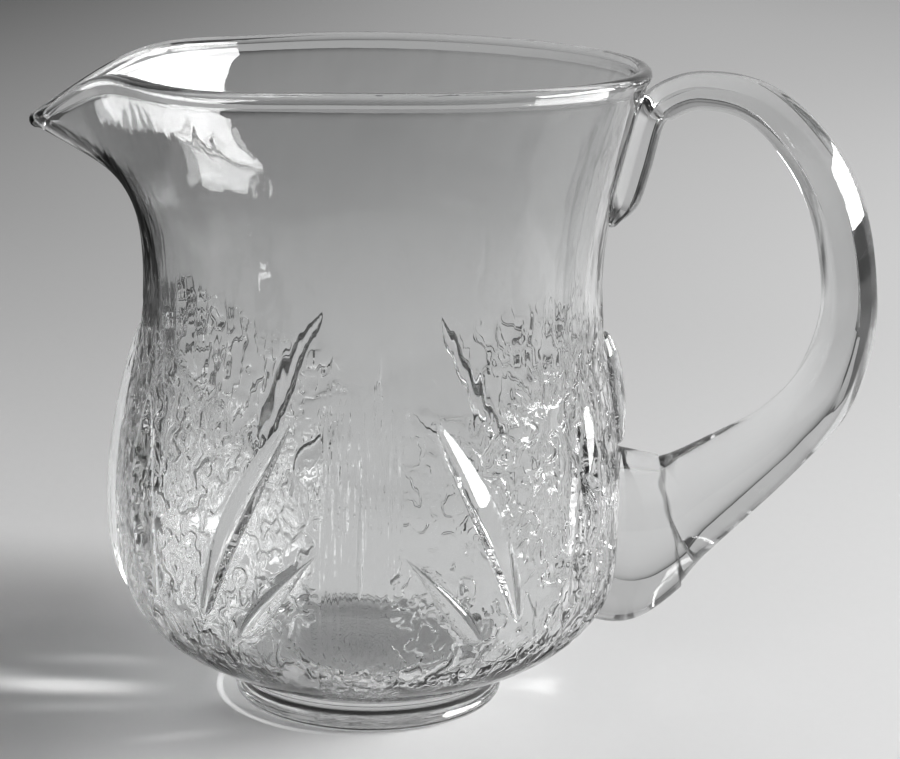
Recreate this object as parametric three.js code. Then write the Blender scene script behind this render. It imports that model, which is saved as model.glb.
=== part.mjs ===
// A clear glass table pitcher: a blown bowl with a pulled spout and a fire-polished rim, a disc foot,
// a drawn loop handle on a boss, and pointed blades of glass laid on the lower half of the bowl.
// Millimetres, +Z up. The origin is the centre of the foot's underside. The spout points along -X and
// the handle along +X. Heights of the bowl and of what is laid on it are measured from the bowl's base,
// which rests on the foot. Angles round the bowl are degrees from the front, -Y, towards the handle.
import * as THREE from "three";
import { mergeVertices } from "three/addons/utils/BufferGeometryUtils.js";

// Clearance left between bits of glass that are fused together on the real pitcher
const SEAT_GAP = 0.3;

// Foot
const FOOT_RADIUS = 38.2;
const FOOT_HEIGHT = 9;
const FOOT_EDGE = 1.8;
const FOOT_WAIST_DEPTH = 1.2;

// Bowl, outside
const RIM_RADIUS = 74.5;
const RIM_HEIGHT = 170.7;
const RIM_BEAD_SWELL = 0.6;
const WAIST_RADIUS = 63.3;
const WAIST_HEIGHT = 112.7;
const BELLY_RADIUS = 71;
const BELLY_HEIGHT = 42.7;

// Swing of the bowl's outer curves, as shares of the stretch that each runs over
const HEEL_OUT = 0.98;
const HEEL_UP = 0.29;
const BELLY_HANG = 0.43;
const BODY_EASE = 0.36;
const NECK_EASE = 0.31;
const NECK_FLARE = 0.6;

// Bowl, inside: the wall's thickness under the rim, at the belly and in the floor
const RIM_WALL = 3.2;
const BELLY_WALL = 4.6;
const FLOOR_THICK = 5.2;

// Spout: the topmost SPOUT_TALL of the wall bends outwards, over SPOUT_CURVE_TALL and up to SPOUT_BEND
// degrees, and is drawn a little shorter. The rim swells and dips beside it, at the shoulders.
const SPOUT_TALL = 50;
const SPOUT_CURVE_TALL = 31;
const SPOUT_BEND = 47;
const SPOUT_DRAW = 0.92;
const SPOUT_HALF_ANGLE = 12.5;
const SPOUT_ROOT_HALF_ANGLE = 24;
const SPOUT_TIP_ROUND = 2.5;
const SPOUT_FALL_OFF = 1.3;
const SHOULDER_SWELL = 5;
const SHOULDER_DIP = 1.3;
const SHOULDER_ANGLE = 56;
const SHOULDER_SPREAD = 21;

// Handle boss: an oval gob on the wall with a slanting outer face
const BOSS_HEIGHT = 38.2;
const BOSS_TALL = 50;
const BOSS_WIDE = 35;
const BOSS_REACH = 14;
const BOSS_SAG = 5.5;
const BOSS_FACE_RISE = 3.5;
const BOSS_FACE_TALL = 39;
const BOSS_FACE_WIDE = 30;
const BOSS_FACE_LEAN = 12;

// Handle: the rod's thickness in the plane of the loop, and its breadth across the loop
const HANDLE_REACH = 68.3;
const HANDLE_TOP_DROP = 6.6;
const HANDLE_FOOT_TALL = 37.6;
const HANDLE_FOOT_WIDE = 28.5;
const HANDLE_ARM_THICK = 20;
const HANDLE_ARM_WIDE = 22;
const HANDLE_GRIP_THICK = 15.4;
const HANDLE_GRIP_WIDE = 20;
const HANDLE_TOP_THICK = 10.4;
const HANDLE_TOP_WIDE = 14;

// Handle section: a strap with a flat front and back that end at these shares of half its thickness and come
// nearer outwards to this share of its breadth. Arched sides meet the flats at an edge of this many degrees.
// The lower arm is oval and eases into the strap between these shares of the handle's length.
const STRAP_FLAT_OUT = 0.2;
const STRAP_FLAT_IN = 0.65;
const STRAP_EDGE = 30;
const STRAP_NARROW = 0.87;
const STRAP_BEGIN = 0.14;
const STRAP_FULL = 0.36;

// Handle tail: the upper end, folded down and pressed on the wall under the rim
const TAIL_TOP_DROP = 14;
const TAIL_LENGTH = 29;
const TAIL_THICK = 8.6;
const TAIL_WIDE = 10;
const TAIL_TIP_THICK = 3.6;
const TAIL_TIP_WIDE = 5.5;

// Blades: heights of the tip, of the point that the line bows towards and of the lower end, then the width
// and the height of the crest
const TALL_TIP_HEIGHT = 96.7;
const TALL_BOW_HEIGHT = 52.7;
const TALL_END_HEIGHT = 4.7;
const TALL_WIDE = 8.5;
const TALL_CREST = 4;
const UPRIGHT_TIP_HEIGHT = 84;
const UPRIGHT_BOW_HEIGHT = 60;
const UPRIGHT_END_HEIGHT = 30;
const UPRIGHT_WIDE = 10;
const UPRIGHT_CREST = 2.8;
const SLANT_TIP_HEIGHT = 86.5;
const SLANT_BOW_HEIGHT = 60;
const SLANT_END_HEIGHT = 31;
const SLANT_WIDE = 8;
const SLANT_CREST = 2.4;
const SHORT_TIP_HEIGHT = 53;
const SHORT_BOW_HEIGHT = 42.5;
const SHORT_END_HEIGHT = 27;
const SHORT_WIDE = 6.4;
const SHORT_CREST = 2;
const MIDRIB_TIP_HEIGHT = 98.7;
const MIDRIB_BOW_HEIGHT = 70;
const MIDRIB_END_HEIGHT = 40;
const MIDRIB_WIDE = 2.6;
const MIDRIB_CREST = 0.5;

// Blades: angles of the tip, of the point that the line bows towards and of the lower end
const TALL_ANGLES = [90, 90, 90];
const UPRIGHT_ANGLES = [61.5, 57.5, 51.5];
const SLANT_ANGLES = [16.5, 29.8, 36];
const SHORT_ANGLES = [8.5, 17, 26];
const MIDRIB_ANGLES = [0, 0, 0];

// Blades: share of the way down at which each is fullest, how full its two ends are, and its section
const TALL_FULLEST = 0.42;
const UPRIGHT_FULLEST = 0.5;
const SLANT_FULLEST = 0.5;
const SHORT_FULLEST = 0.72;
const MIDRIB_FULLEST = 0.8;
const BLADE_TIP = 0.012;
const BLADE_END = 0.93;
const BLADE_FILL = 0.55;
const BLADE_EDGE = 0.25;
const BLADE_CREST_ROUND = 6;
const BLADE_STEP = 6;

// Fineness of the facets
const BOWL_SIDES = 60;
const HEEL_ROWS = 9;
const BODY_ROWS = 8;
const NECK_ROWS = 8;
const BEAD_ANGLES = [-25, 15, 55, 90, 125, 165, 205];
const SPOUT_CROWDING = 0.42;
const FOOT_SIDES = 56;
const HANDLE_STATIONS = 44;
const STRAP_ARCH_STEPS = 3;
const BOSS_SIDES = 28;
const BOSS_RINGS = 6;
const CAP_RINGS = 4;
const BLADE_ACROSS = [-1, -0.86, -0.55, 0.55, 0.86, 1];
const BLADE_END_STEPS = 4;

const QUARTER_TURN = Math.PI / 2;
const radians = THREE.MathUtils.degToRad;
const smooth = THREE.MathUtils.smoothstep;
const lerp = THREE.MathUtils.lerp;
const flat = (x, y) => new THREE.Vector2(x, y);

// Outside of the bowl as three curves of radius and height: foot to belly, belly to waist, waist to rim
const seatRadius = FOOT_RADIUS + SEAT_GAP;
const beadRadius = RIM_WALL / 2 + RIM_BEAD_SWELL;
const beadCentre = flat(RIM_RADIUS - beadRadius, RIM_HEIGHT - beadRadius);
const neckTop = beadCentre.y;
const neckRadius = beadCentre.x + RIM_WALL / 2;
const bodyRise = WAIST_HEIGHT - BELLY_HEIGHT;
const neckRise = neckTop - WAIST_HEIGHT;

const heelCurve = new THREE.CubicBezierCurve(
  flat(seatRadius, 0),
  flat(lerp(seatRadius, BELLY_RADIUS, HEEL_OUT), HEEL_UP * BELLY_HEIGHT),
  flat(BELLY_RADIUS, BELLY_HEIGHT - BELLY_HANG * BELLY_HEIGHT),
  flat(BELLY_RADIUS, BELLY_HEIGHT),
);
const bodyCurve = new THREE.CubicBezierCurve(
  flat(BELLY_RADIUS, BELLY_HEIGHT),
  flat(BELLY_RADIUS, BELLY_HEIGHT + BODY_EASE * bodyRise),
  flat(WAIST_RADIUS, WAIST_HEIGHT - BODY_EASE * bodyRise),
  flat(WAIST_RADIUS, WAIST_HEIGHT),
);
const neckCurve = new THREE.CubicBezierCurve(
  flat(WAIST_RADIUS, WAIST_HEIGHT),
  flat(WAIST_RADIUS, WAIST_HEIGHT + NECK_EASE * neckRise),
  flat(lerp(WAIST_RADIUS, neckRadius, NECK_FLARE), neckTop - NECK_EASE * neckRise),
  flat(neckRadius, neckTop),
);

// Point of the outer wall at a height, with the wall's outward normal, both as radius and height
function wallAt(height) {
  let curve = neckCurve;
  if (height < WAIST_HEIGHT) curve = bodyCurve;
  if (height < BELLY_HEIGHT) curve = heelCurve;
  let low = 0;
  let high = 1;
  while (high - low > 1e-9) {
    const middle = (low + high) / 2;
    if (curve.getPoint(middle).y < height) low = middle;
    else high = middle;
  }
  const tangent = curve.getTangent(low);
  return { point: curve.getPoint(low), normal: flat(tangent.y, -tangent.x) };
}

// Point outside the bowl at an angle from the front, a height, and a distance off the wall
function onWall(angle, height, off) {
  const { point, normal } = wallAt(height);
  const radius = point.x + off * normal.x;
  const turn = radians(angle);
  return new THREE.Vector3(radius * Math.sin(turn), -radius * Math.cos(turn), point.y + off * normal.y);
}

// Closed surface from rings that all have as many points, with both end rings capped
function loft(rings) {
  const sides = rings[0].length;
  const points = rings.flat();
  const index = [];
  for (let r = 0; r + 1 < rings.length; r++) {
    for (let s = 0; s < sides; s++) {
      const here = r * sides + s;
      const next = r * sides + ((s + 1) % sides);
      index.push(here, next, next + sides, here, next + sides, here + sides);
    }
  }
  const cap = (start, ring, turned) => {
    const centre = points.length;
    points.push(ring.reduce((sum, p) => sum.add(p), new THREE.Vector3()).divideScalar(sides));
    for (let s = 0; s < sides; s++) {
      const pair = [start + s, start + ((s + 1) % sides)];
      if (turned) pair.reverse();
      index.push(centre, ...pair);
    }
  };
  cap(0, rings[0], true);
  cap((rings.length - 1) * sides, rings.at(-1), false);
  const geometry = new THREE.BufferGeometry().setFromPoints(points);
  geometry.setIndex(index);
  return geometry;
}

// Bend of the wall along the spout's centre line, in radians
const spoutStart = RIM_HEIGHT - SPOUT_TALL;
function spoutBend(height) {
  return radians(SPOUT_BEND) * smooth(height, spoutStart, spoutStart + SPOUT_CURVE_TALL);
}

// Outer wall along the spout's centre line: the plain wall with each short length of it turned outwards
function spoutWallAt(height) {
  const step = 0.5;
  const point = wallAt(Math.min(height, spoutStart)).point;
  for (let from = spoutStart; from < height; from += step) {
    const to = Math.min(from + step, height);
    const length = wallAt(to).point.sub(wallAt(from).point).multiplyScalar(SPOUT_DRAW);
    point.add(length.rotateAround(flat(0, 0), -spoutBend((from + to) / 2)));
  }
  return point;
}

// Profile of the bowl from the middle of its underside, up the outside, over the bead and down inside.
// Each row knows the height of the outer wall that it belongs to, and its offset from that wall.
function bowlRows() {
  const rows = [];
  const addRow = (point, height) => {
    rows.push({ point, height, offset: point.clone().sub(wallAt(height).point) });
  };
  const addOuter = (height) => addRow(wallAt(height).point, height);
  const wallThick = (height) => {
    if (height < BELLY_HEIGHT) return lerp(FLOOR_THICK, BELLY_WALL, smooth(height, 0, BELLY_HEIGHT));
    return lerp(BELLY_WALL, RIM_WALL, smooth(height, BELLY_HEIGHT, neckTop));
  };
  const addInner = (height) => {
    const { point, normal } = wallAt(height);
    addRow(point.addScaledVector(normal, -wallThick(height)), height);
  };
  const heights = (from, to, steps) => Array.from({ length: steps + 1 }, (_, i) => lerp(from, to, i / steps));

  addRow(flat(0, 0), 0);
  heelCurve.getPoints(HEEL_ROWS).forEach((point) => addRow(point, point.y));
  heights(BELLY_HEIGHT, spoutStart, BODY_ROWS).slice(1).forEach(addOuter);
  heights(spoutStart, neckTop - beadRadius, NECK_ROWS).slice(1).forEach(addOuter);
  for (const angle of BEAD_ANGLES) {
    const turn = radians(angle);
    const onBead = flat(Math.cos(turn), Math.sin(turn)).multiplyScalar(beadRadius).add(beadCentre);
    addRow(onBead, neckTop);
  }
  heights(neckTop - beadRadius, spoutStart, NECK_ROWS).forEach(addInner);
  heights(spoutStart, BELLY_HEIGHT, BODY_ROWS / 2).slice(1).forEach(addInner);
  heelCurve.getPoints(HEEL_ROWS).reverse().slice(1).forEach((point) => addInner(point.y));
  addRow(flat(0, FLOOR_THICK), 0);
  return rows;
}

// How far a place at an angle from the spout's centre line follows the spout, from 0 to 1
function spoutShare(angle, height) {
  const rise = smooth(height, spoutStart, neckTop);
  const half = lerp(SPOUT_ROOT_HALF_ANGLE, SPOUT_HALF_ANGLE, rise);
  const rounded = Math.hypot(angle, SPOUT_TIP_ROUND) - SPOUT_TIP_ROUND;
  return Math.exp(-((rounded / half) ** SPOUT_FALL_OFF));
}

// The bowl is a lathe whose columns crowd towards the spout, with its upper wall pulled into the spout
function bowlGeometry() {
  const rows = bowlRows();
  const geometry = new THREE.LatheGeometry(rows.map((row) => row.point), BOWL_SIDES);
  const position = geometry.attributes.position;
  const pulled = rows.map((row) => {
    const offset = row.offset.clone().rotateAround(flat(0, 0), -spoutBend(row.height));
    return spoutWallAt(row.height).add(offset);
  });
  for (let column = 0; column <= BOWL_SIDES; column++) {
    const even = (2 * Math.PI * (column % BOWL_SIDES)) / BOWL_SIDES;
    const turn = even - SPOUT_CROWDING * Math.sin(even);
    const fromSpout = THREE.MathUtils.radToDeg(Math.min(turn, 2 * Math.PI - turn));
    rows.forEach((row, r) => {
      const share = spoutShare(fromSpout, row.height);
      const place = row.point.clone().lerp(pulled[r], share);
      const nearShoulder = Math.exp(-(((fromSpout - SHOULDER_ANGLE) / SHOULDER_SPREAD) ** 2));
      const shoulder = nearShoulder * smooth(row.height, spoutStart, neckTop);
      const radius = place.x + SHOULDER_SWELL * shoulder;
      const height = place.y - SHOULDER_DIP * shoulder;
      const vertex = column * rows.length + r;
      position.setXYZ(vertex, -radius * Math.cos(turn), -radius * Math.sin(turn), height);
    });
  }
  return geometry;
}

// The foot is a thick disc, drawn in a little half way up and rounded at its lower edge
function footGeometry() {
  const edge = new THREE.QuadraticBezierCurve(
    flat(FOOT_RADIUS - FOOT_EDGE, 0), flat(FOOT_RADIUS, 0), flat(FOOT_RADIUS, FOOT_EDGE),
  );
  const side = new THREE.QuadraticBezierCurve(
    flat(FOOT_RADIUS, FOOT_EDGE),
    flat(FOOT_RADIUS - 2 * FOOT_WAIST_DEPTH, (FOOT_EDGE + FOOT_HEIGHT) / 2),
    flat(FOOT_RADIUS, FOOT_HEIGHT),
  );
  const profile = [flat(0, 0), ...edge.getPoints(3), ...side.getPoints(4).slice(1), flat(0, FOOT_HEIGHT)];
  return new THREE.LatheGeometry(profile, FOOT_SIDES).rotateX(QUARTER_TURN);
}

// How full a blade is along its length, from a fine tip through its fullest place to a blunt lower end
function bladeFullness(along, fullest) {
  const pace = Math.log(0.5) / Math.log(fullest);
  return Math.sin(Math.PI * lerp(BLADE_TIP, BLADE_END, along ** pace)) ** BLADE_FILL;
}

// A blade follows a bowed line on the wall, pointed at its tip, with a broad crest and a flat seat
function bladeGeometry(shape, side, back) {
  const [tip, bow, end] = shape.heights.map((height, i) => flat(shape.angles[i], height));
  const line = new THREE.QuadraticBezierCurve(tip, bow, end);
  const mirror = side * (back ? -1 : 1);
  const wallAngle = (angle) => (back ? 180 : 0) + mirror * angle;
  const stations = Math.ceil((tip.y - end.y) / BLADE_STEP) + BLADE_END_STEPS;
  const rings = [];
  for (let i = 0; i <= stations; i++) {
    const along = i / stations;
    const spot = line.getPoint(along);
    const { point, normal } = wallAt(spot.y);
    const heading = line.getTangent(along);
    const turn = flat(radians(heading.x) * point.x, heading.y / normal.x).normalize();
    const fullness = bladeFullness(along, shape.fullest);
    const halfWidth = 0.5 * shape.wide * fullness;
    const crest = shape.crest * fullness;
    const at = (share, off) => {
      const angle = spot.x + THREE.MathUtils.radToDeg((share * halfWidth * -turn.y) / point.x);
      return onWall(wallAngle(angle), spot.y + share * halfWidth * turn.x * normal.x, off);
    };
    const rise = (share) => BLADE_EDGE + crest * (1 - Math.abs(share) ** BLADE_CREST_ROUND);
    const top = BLADE_ACROSS.map((share) => at(share, SEAT_GAP + rise(share)));
    const seat = [1, 0, -1].map((share) => at(share, SEAT_GAP));
    const ring = [...top, ...seat];
    rings.push(mirror < 0 ? ring : ring.reverse());
  }
  return loft(rings);
}

// Outer face of the boss, where the handle's lower end sits: its centre and its two directions in X and Z
const bossFaceCentre = flat(wallAt(BOSS_HEIGHT).point.x + BOSS_REACH, BOSS_HEIGHT + BOSS_FACE_RISE);
const bossFaceUp = flat(-Math.sin(radians(BOSS_FACE_LEAN)), Math.cos(radians(BOSS_FACE_LEAN)));
const bossFaceOut = flat(bossFaceUp.y, -bossFaceUp.x);

// The boss grows from an oval on the wall to its slanting face, and sags a little underneath
function bossGeometry() {
  const onSeat = (turn, share) => {
    const y = 0.5 * BOSS_WIDE * share * Math.cos(turn);
    const z = BOSS_HEIGHT + 0.5 * BOSS_TALL * share * Math.sin(turn);
    const { point, normal } = wallAt(z);
    return new THREE.Vector3(Math.sqrt(point.x ** 2 - y ** 2) + SEAT_GAP / normal.x, y, z);
  };
  const onFace = (turn) => {
    const up = 0.5 * BOSS_FACE_TALL * Math.sin(turn);
    const y = 0.5 * BOSS_FACE_WIDE * Math.cos(turn);
    return new THREE.Vector3(bossFaceCentre.x + up * bossFaceUp.x, y, bossFaceCentre.y + up * bossFaceUp.y);
  };
  const turns = Array.from({ length: BOSS_SIDES }, (_, s) => (2 * Math.PI * s) / BOSS_SIDES);
  const rings = [];
  for (let c = 1; c < CAP_RINGS; c++) rings.push(turns.map((turn) => onSeat(turn, c / CAP_RINGS)));
  for (let r = 0; r <= BOSS_RINGS; r++) {
    const out = r / BOSS_RINGS;
    rings.push(turns.map((turn) => {
      const place = onSeat(turn, 1).lerp(onFace(turn), out);
      place.z -= BOSS_SAG * Math.sin(Math.PI * out) * ((1 - Math.sin(turn)) / 2) ** 2;
      return place;
    }));
  }
  return loft(rings);
}

// Section of the handle, as shares of half its thickness and half its breadth, from its outer side round
function strapSection() {
  const edge = radians(STRAP_EDGE);
  const arch = (flatEnd, breadth) => Array.from({ length: STRAP_ARCH_STEPS }, (_, i) => {
    const slope = lerp(QUARTER_TURN, edge, (i + 1) / STRAP_ARCH_STEPS);
    const out = lerp(flatEnd, 1, (Math.sin(slope) - Math.sin(edge)) / (1 - Math.sin(edge)));
    return flat(out, (breadth * Math.cos(slope)) / Math.cos(edge));
  });
  const inner = arch(STRAP_FLAT_IN, 1).reverse().map((place) => flat(-place.x, place.y));
  const back = [...arch(STRAP_FLAT_OUT, STRAP_NARROW), ...inner];
  const front = back.map((place) => flat(place.x, -place.y)).reverse();
  return [flat(1, 0), ...back, flat(-1, 0), ...front];
}

// The handle is a loft of sections along a spine in the plane of the loop. Each station of its arms gives the
// share of the way out to the grip, the share of the way up to the top, the lean of the section in degrees,
// then its thickness and its breadth. The lower arm starts at the boss face, the upper one at the tail.
function handleGeometry() {
  const start = bossFaceCentre.clone().addScaledVector(bossFaceOut, SEAT_GAP);
  const grip = WAIST_RADIUS + HANDLE_REACH;
  const top = RIM_HEIGHT - HANDLE_TOP_DROP;
  const tailTop = RIM_HEIGHT - TAIL_TOP_DROP;
  const spine = [];
  const section = [];
  const addStation = (x, z, lean, thick, wide) => {
    spine.push(new THREE.Vector3(x, 0, z));
    section.push(new THREE.Vector3(lean, thick, wide));
  };
  const seatOnWall = (height, thick) => {
    const { point, normal } = wallAt(height);
    return { centre: point.addScaledVector(normal, SEAT_GAP + thick / 2), normal };
  };

  const footThick = (share) => lerp(HANDLE_ARM_THICK, HANDLE_FOOT_TALL, share);
  const footWide = (share) => lerp(HANDLE_ARM_WIDE, HANDLE_FOOT_WIDE, share);
  const armThick = (share) => lerp(HANDLE_GRIP_THICK, HANDLE_ARM_THICK, share);
  const armWide = (share) => lerp(HANDLE_GRIP_WIDE, HANDLE_ARM_WIDE, share);
  const lowerArm = [
    [0, 0, BOSS_FACE_LEAN - 90, footThick(1), footWide(1)],
    [0.133, 0.045, -74, footThick(0.65), footWide(0.64)],
    [0.38, 0.121, -64, footThick(0.295), footWide(0.24)],
    [0.647, 0.206, -53, armThick(1), armWide(1)],
    [0.875, 0.308, -36, armThick(0.65), armWide(0.5)],
    [0.996, 0.447, -14, armThick(0.2), armWide(0)],
    [1, 0.576, -3, armThick(0), armWide(0)],
  ];
  for (const [out, up, lean, thick, wide] of lowerArm) {
    addStation(lerp(start.x, grip, out), lerp(start.y, top, up), lean, thick, wide);
  }

  const gripThick = (share) => lerp(HANDLE_TOP_THICK, HANDLE_GRIP_THICK, share);
  const gripWide = (share) => lerp(HANDLE_TOP_WIDE, HANDLE_GRIP_WIDE, share);
  const tailRoot = seatOnWall(tailTop, TAIL_THICK).centre;
  const upperArm = [
    [0.917, 0.745, 21, gripThick(0.92), gripWide(0.7)],
    [0.744, 0.882, 39, gripThick(0.68), gripWide(0)],
    [0.504, 0.977, 61, gripThick(0.26), gripWide(0)],
    [0.239, 1, 92, gripThick(0), gripWide(0)],
    [0.065, 0.972, 121, gripThick(0), gripWide(0)],
  ];
  for (const [out, up, lean, thick, wide] of upperArm) {
    addStation(lerp(tailRoot.x, grip, out), lerp(start.y, top, up), lean, thick, wide);
  }

  const tailThick = (share) => lerp(TAIL_TIP_THICK, TAIL_THICK, share);
  const tailWide = (share) => lerp(TAIL_TIP_WIDE, TAIL_WIDE, share);
  const tail = [[0, 1], [0.45, 1], [0.8, 0.8], [1, 0]];
  for (const [down, full] of tail) {
    const { centre, normal } = seatOnWall(tailTop - down * TAIL_LENGTH, tailThick(full));
    const lean = THREE.MathUtils.radToDeg(Math.atan2(-normal.y, -normal.x));
    addStation(centre.x, centre.y, lean, tailThick(full), tailWide(full));
  }

  const path = new THREE.CatmullRomCurve3(spine, false, "catmullrom");
  const sizes = new THREE.CatmullRomCurve3(section, false, "catmullrom");
  const strap = strapSection();
  const rings = [];
  for (let i = 0; i <= HANDLE_STATIONS; i++) {
    const along = i / HANDLE_STATIONS;
    const centre = path.getPoint(along);
    const size = sizes.getPoint(along);
    const lean = radians(size.x);
    rings.push(strap.map((place) => {
      const shape = place.clone().normalize().lerp(place, smooth(along, STRAP_BEGIN, STRAP_FULL));
      const out = 0.5 * size.y * shape.x;
      const y = 0.5 * size.z * shape.y;
      return new THREE.Vector3(centre.x + out * Math.cos(lean), y, centre.z + out * Math.sin(lean));
    }));
  }
  return loft(rings);
}

// Every bit is the same clear glass, each with a material of its own. The bowl and what is laid on it stand
// on the foot.
const pitcher = new THREE.Group();
const body = new THREE.Group();
body.position.z = FOOT_HEIGHT + SEAT_GAP;
pitcher.add(body);
function addPiece(group, name, geometry) {
  geometry.deleteAttribute("normal");
  geometry.deleteAttribute("uv");
  const glass = new THREE.MeshStandardMaterial({ color: "#dfe4e5", roughness: 0.04, metalness: 0 });
  const piece = new THREE.Mesh(mergeVertices(geometry), glass);
  piece.name = name;
  group.add(piece);
}

addPiece(body, "bowl", bowlGeometry());
addPiece(pitcher, "foot", footGeometry());
addPiece(body, "handle_boss", bossGeometry());
addPiece(body, "handle", handleGeometry());

const tall = {
  angles: TALL_ANGLES,
  heights: [TALL_TIP_HEIGHT, TALL_BOW_HEIGHT, TALL_END_HEIGHT],
  wide: TALL_WIDE,
  crest: TALL_CREST,
  fullest: TALL_FULLEST,
};
const upright = {
  angles: UPRIGHT_ANGLES,
  heights: [UPRIGHT_TIP_HEIGHT, UPRIGHT_BOW_HEIGHT, UPRIGHT_END_HEIGHT],
  wide: UPRIGHT_WIDE,
  crest: UPRIGHT_CREST,
  fullest: UPRIGHT_FULLEST,
};
const slant = {
  angles: SLANT_ANGLES,
  heights: [SLANT_TIP_HEIGHT, SLANT_BOW_HEIGHT, SLANT_END_HEIGHT],
  wide: SLANT_WIDE,
  crest: SLANT_CREST,
  fullest: SLANT_FULLEST,
};
const short = {
  angles: SHORT_ANGLES,
  heights: [SHORT_TIP_HEIGHT, SHORT_BOW_HEIGHT, SHORT_END_HEIGHT],
  wide: SHORT_WIDE,
  crest: SHORT_CREST,
  fullest: SHORT_FULLEST,
};
const midrib = {
  angles: MIDRIB_ANGLES,
  heights: [MIDRIB_TIP_HEIGHT, MIDRIB_BOW_HEIGHT, MIDRIB_END_HEIGHT],
  wide: MIDRIB_WIDE,
  crest: MIDRIB_CREST,
  fullest: MIDRIB_FULLEST,
};

// The tall blade under the handle is broken by the boss, so it is laid on in two lengths
const bossTop = BOSS_HEIGHT + BOSS_TALL / 2 + 2 * SEAT_GAP;
const bossBottom = BOSS_HEIGHT - BOSS_TALL / 2 - SEAT_GAP;
const straight = (top, bottom) => [top, (top + bottom) / 2, bottom];
const tallUpper = { ...tall, heights: straight(TALL_TIP_HEIGHT, bossTop) };
const tallLower = { ...tall, heights: straight(bossBottom, TALL_END_HEIGHT) };
addPiece(body, "blade_tall_spout", bladeGeometry(tall, -1, false));
addPiece(body, "blade_tall_handle_upper", bladeGeometry(tallUpper, 1, false));
addPiece(body, "blade_tall_handle_lower", bladeGeometry(tallLower, 1, false));

for (const back of [false, true]) {
  const face = back ? "back" : "front";
  for (const side of [-1, 1]) {
    const hand = side < 0 ? "spout" : "handle";
    addPiece(body, `blade_upright_${face}_${hand}`, bladeGeometry(upright, side, back));
    addPiece(body, `blade_slant_${face}_${hand}`, bladeGeometry(slant, side, back));
    addPiece(body, `blade_short_${face}_${hand}`, bladeGeometry(short, side, back));
  }
  addPiece(body, `midrib_${face}`, bladeGeometry(midrib, 1, back));
}

export default pitcher;
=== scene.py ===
# %% [markdown]
# A clear glass pitcher
# The real pitcher is put together hot from gathers of clear glass: a blown bowl with a pulled spout, a
# disc foot, a drawn loop handle on a boss, and pointed blades that are laid on a hammered lower half.
# Everything here is measured in metres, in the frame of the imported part, so nothing is fitted afterwards.

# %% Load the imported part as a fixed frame
import math

import bmesh
import bpy
import numpy as np
from mathutils import Matrix, Vector
from mathutils.bvhtree import BVHTree


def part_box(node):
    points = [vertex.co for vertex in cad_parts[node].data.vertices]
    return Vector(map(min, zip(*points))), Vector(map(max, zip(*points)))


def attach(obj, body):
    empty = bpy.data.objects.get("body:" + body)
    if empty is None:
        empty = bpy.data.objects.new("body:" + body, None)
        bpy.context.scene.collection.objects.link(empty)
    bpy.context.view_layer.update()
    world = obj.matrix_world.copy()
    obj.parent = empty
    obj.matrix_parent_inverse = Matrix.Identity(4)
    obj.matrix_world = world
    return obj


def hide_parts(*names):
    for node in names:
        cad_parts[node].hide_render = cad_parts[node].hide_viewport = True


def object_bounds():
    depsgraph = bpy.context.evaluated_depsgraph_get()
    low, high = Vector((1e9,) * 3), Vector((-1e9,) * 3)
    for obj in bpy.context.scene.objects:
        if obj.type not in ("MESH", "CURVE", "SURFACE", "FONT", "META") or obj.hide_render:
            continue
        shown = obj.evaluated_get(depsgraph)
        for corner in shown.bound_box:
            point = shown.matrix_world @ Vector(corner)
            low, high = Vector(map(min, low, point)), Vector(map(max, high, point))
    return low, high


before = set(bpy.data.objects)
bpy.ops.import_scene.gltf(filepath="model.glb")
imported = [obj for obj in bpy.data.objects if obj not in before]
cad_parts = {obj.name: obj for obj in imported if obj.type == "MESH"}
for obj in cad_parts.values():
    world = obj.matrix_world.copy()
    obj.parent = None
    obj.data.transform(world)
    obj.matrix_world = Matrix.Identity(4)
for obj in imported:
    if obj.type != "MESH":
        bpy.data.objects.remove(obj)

cad_box = [[float(value) for value in corner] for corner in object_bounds()]
MM = 0.001
print("CAD box in metres:", cad_box)

# %% [markdown]
# Driving sizes
# The foot, the rim and the bowl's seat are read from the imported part. The other sizes repeat the part's own
# driving dimensions, with heights measured from the bowl's base. A guess by eye would drift away from the
# solids that carry the collision, so the same curves are worked out again, only with many more points.

# %% Sizes of the bowl
foot_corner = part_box("foot")[1]
bowl_low, bowl_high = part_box("bowl")
FOOT_RADIUS = foot_corner.x
FOOT_HEIGHT = foot_corner.z
BASE = bowl_low.z
RIM_HEIGHT = bowl_high.z - BASE
SEAT_GAP = BASE - FOOT_HEIGHT
SEAT_RADIUS = FOOT_RADIUS + SEAT_GAP
RIM_RADIUS = 74.5 * MM
RIM_WALL = 3.2 * MM
BEAD_RADIUS = RIM_WALL / 2 + 0.6 * MM
BEAD_CENTRE = np.array([RIM_RADIUS - BEAD_RADIUS, RIM_HEIGHT - BEAD_RADIUS])
NECK_TOP = BEAD_CENTRE[1]
NECK_RADIUS = BEAD_CENTRE[0] + RIM_WALL / 2
WAIST_RADIUS = 63.3 * MM
WAIST_HEIGHT = 112.7 * MM
BELLY_RADIUS = 71.0 * MM
BELLY_HEIGHT = 42.7 * MM
BELLY_WALL = 4.6 * MM
FLOOR_THICK = 5.2 * MM
HEEL_OUT, HEEL_UP, BELLY_HANG = 0.98, 0.29, 0.43
BODY_EASE, NECK_EASE, NECK_FLARE = 0.36, 0.31, 0.6
print(f"foot {2 * FOOT_RADIUS / MM:.1f} mm across, rim {(RIM_HEIGHT + BASE) / MM:.1f} mm above the table")


# %% [markdown]
# The wall's outline
# A blown bowl has a smooth outline: a round heel, a full belly, a drawn-in waist and a flared neck. Three
# cubic curves of radius and height give it. They could be drawn as a Bezier curve and spun, but the blades,
# the boss and the handle all need to know where the wall is at a height, so the outline is kept as numbers.

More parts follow.
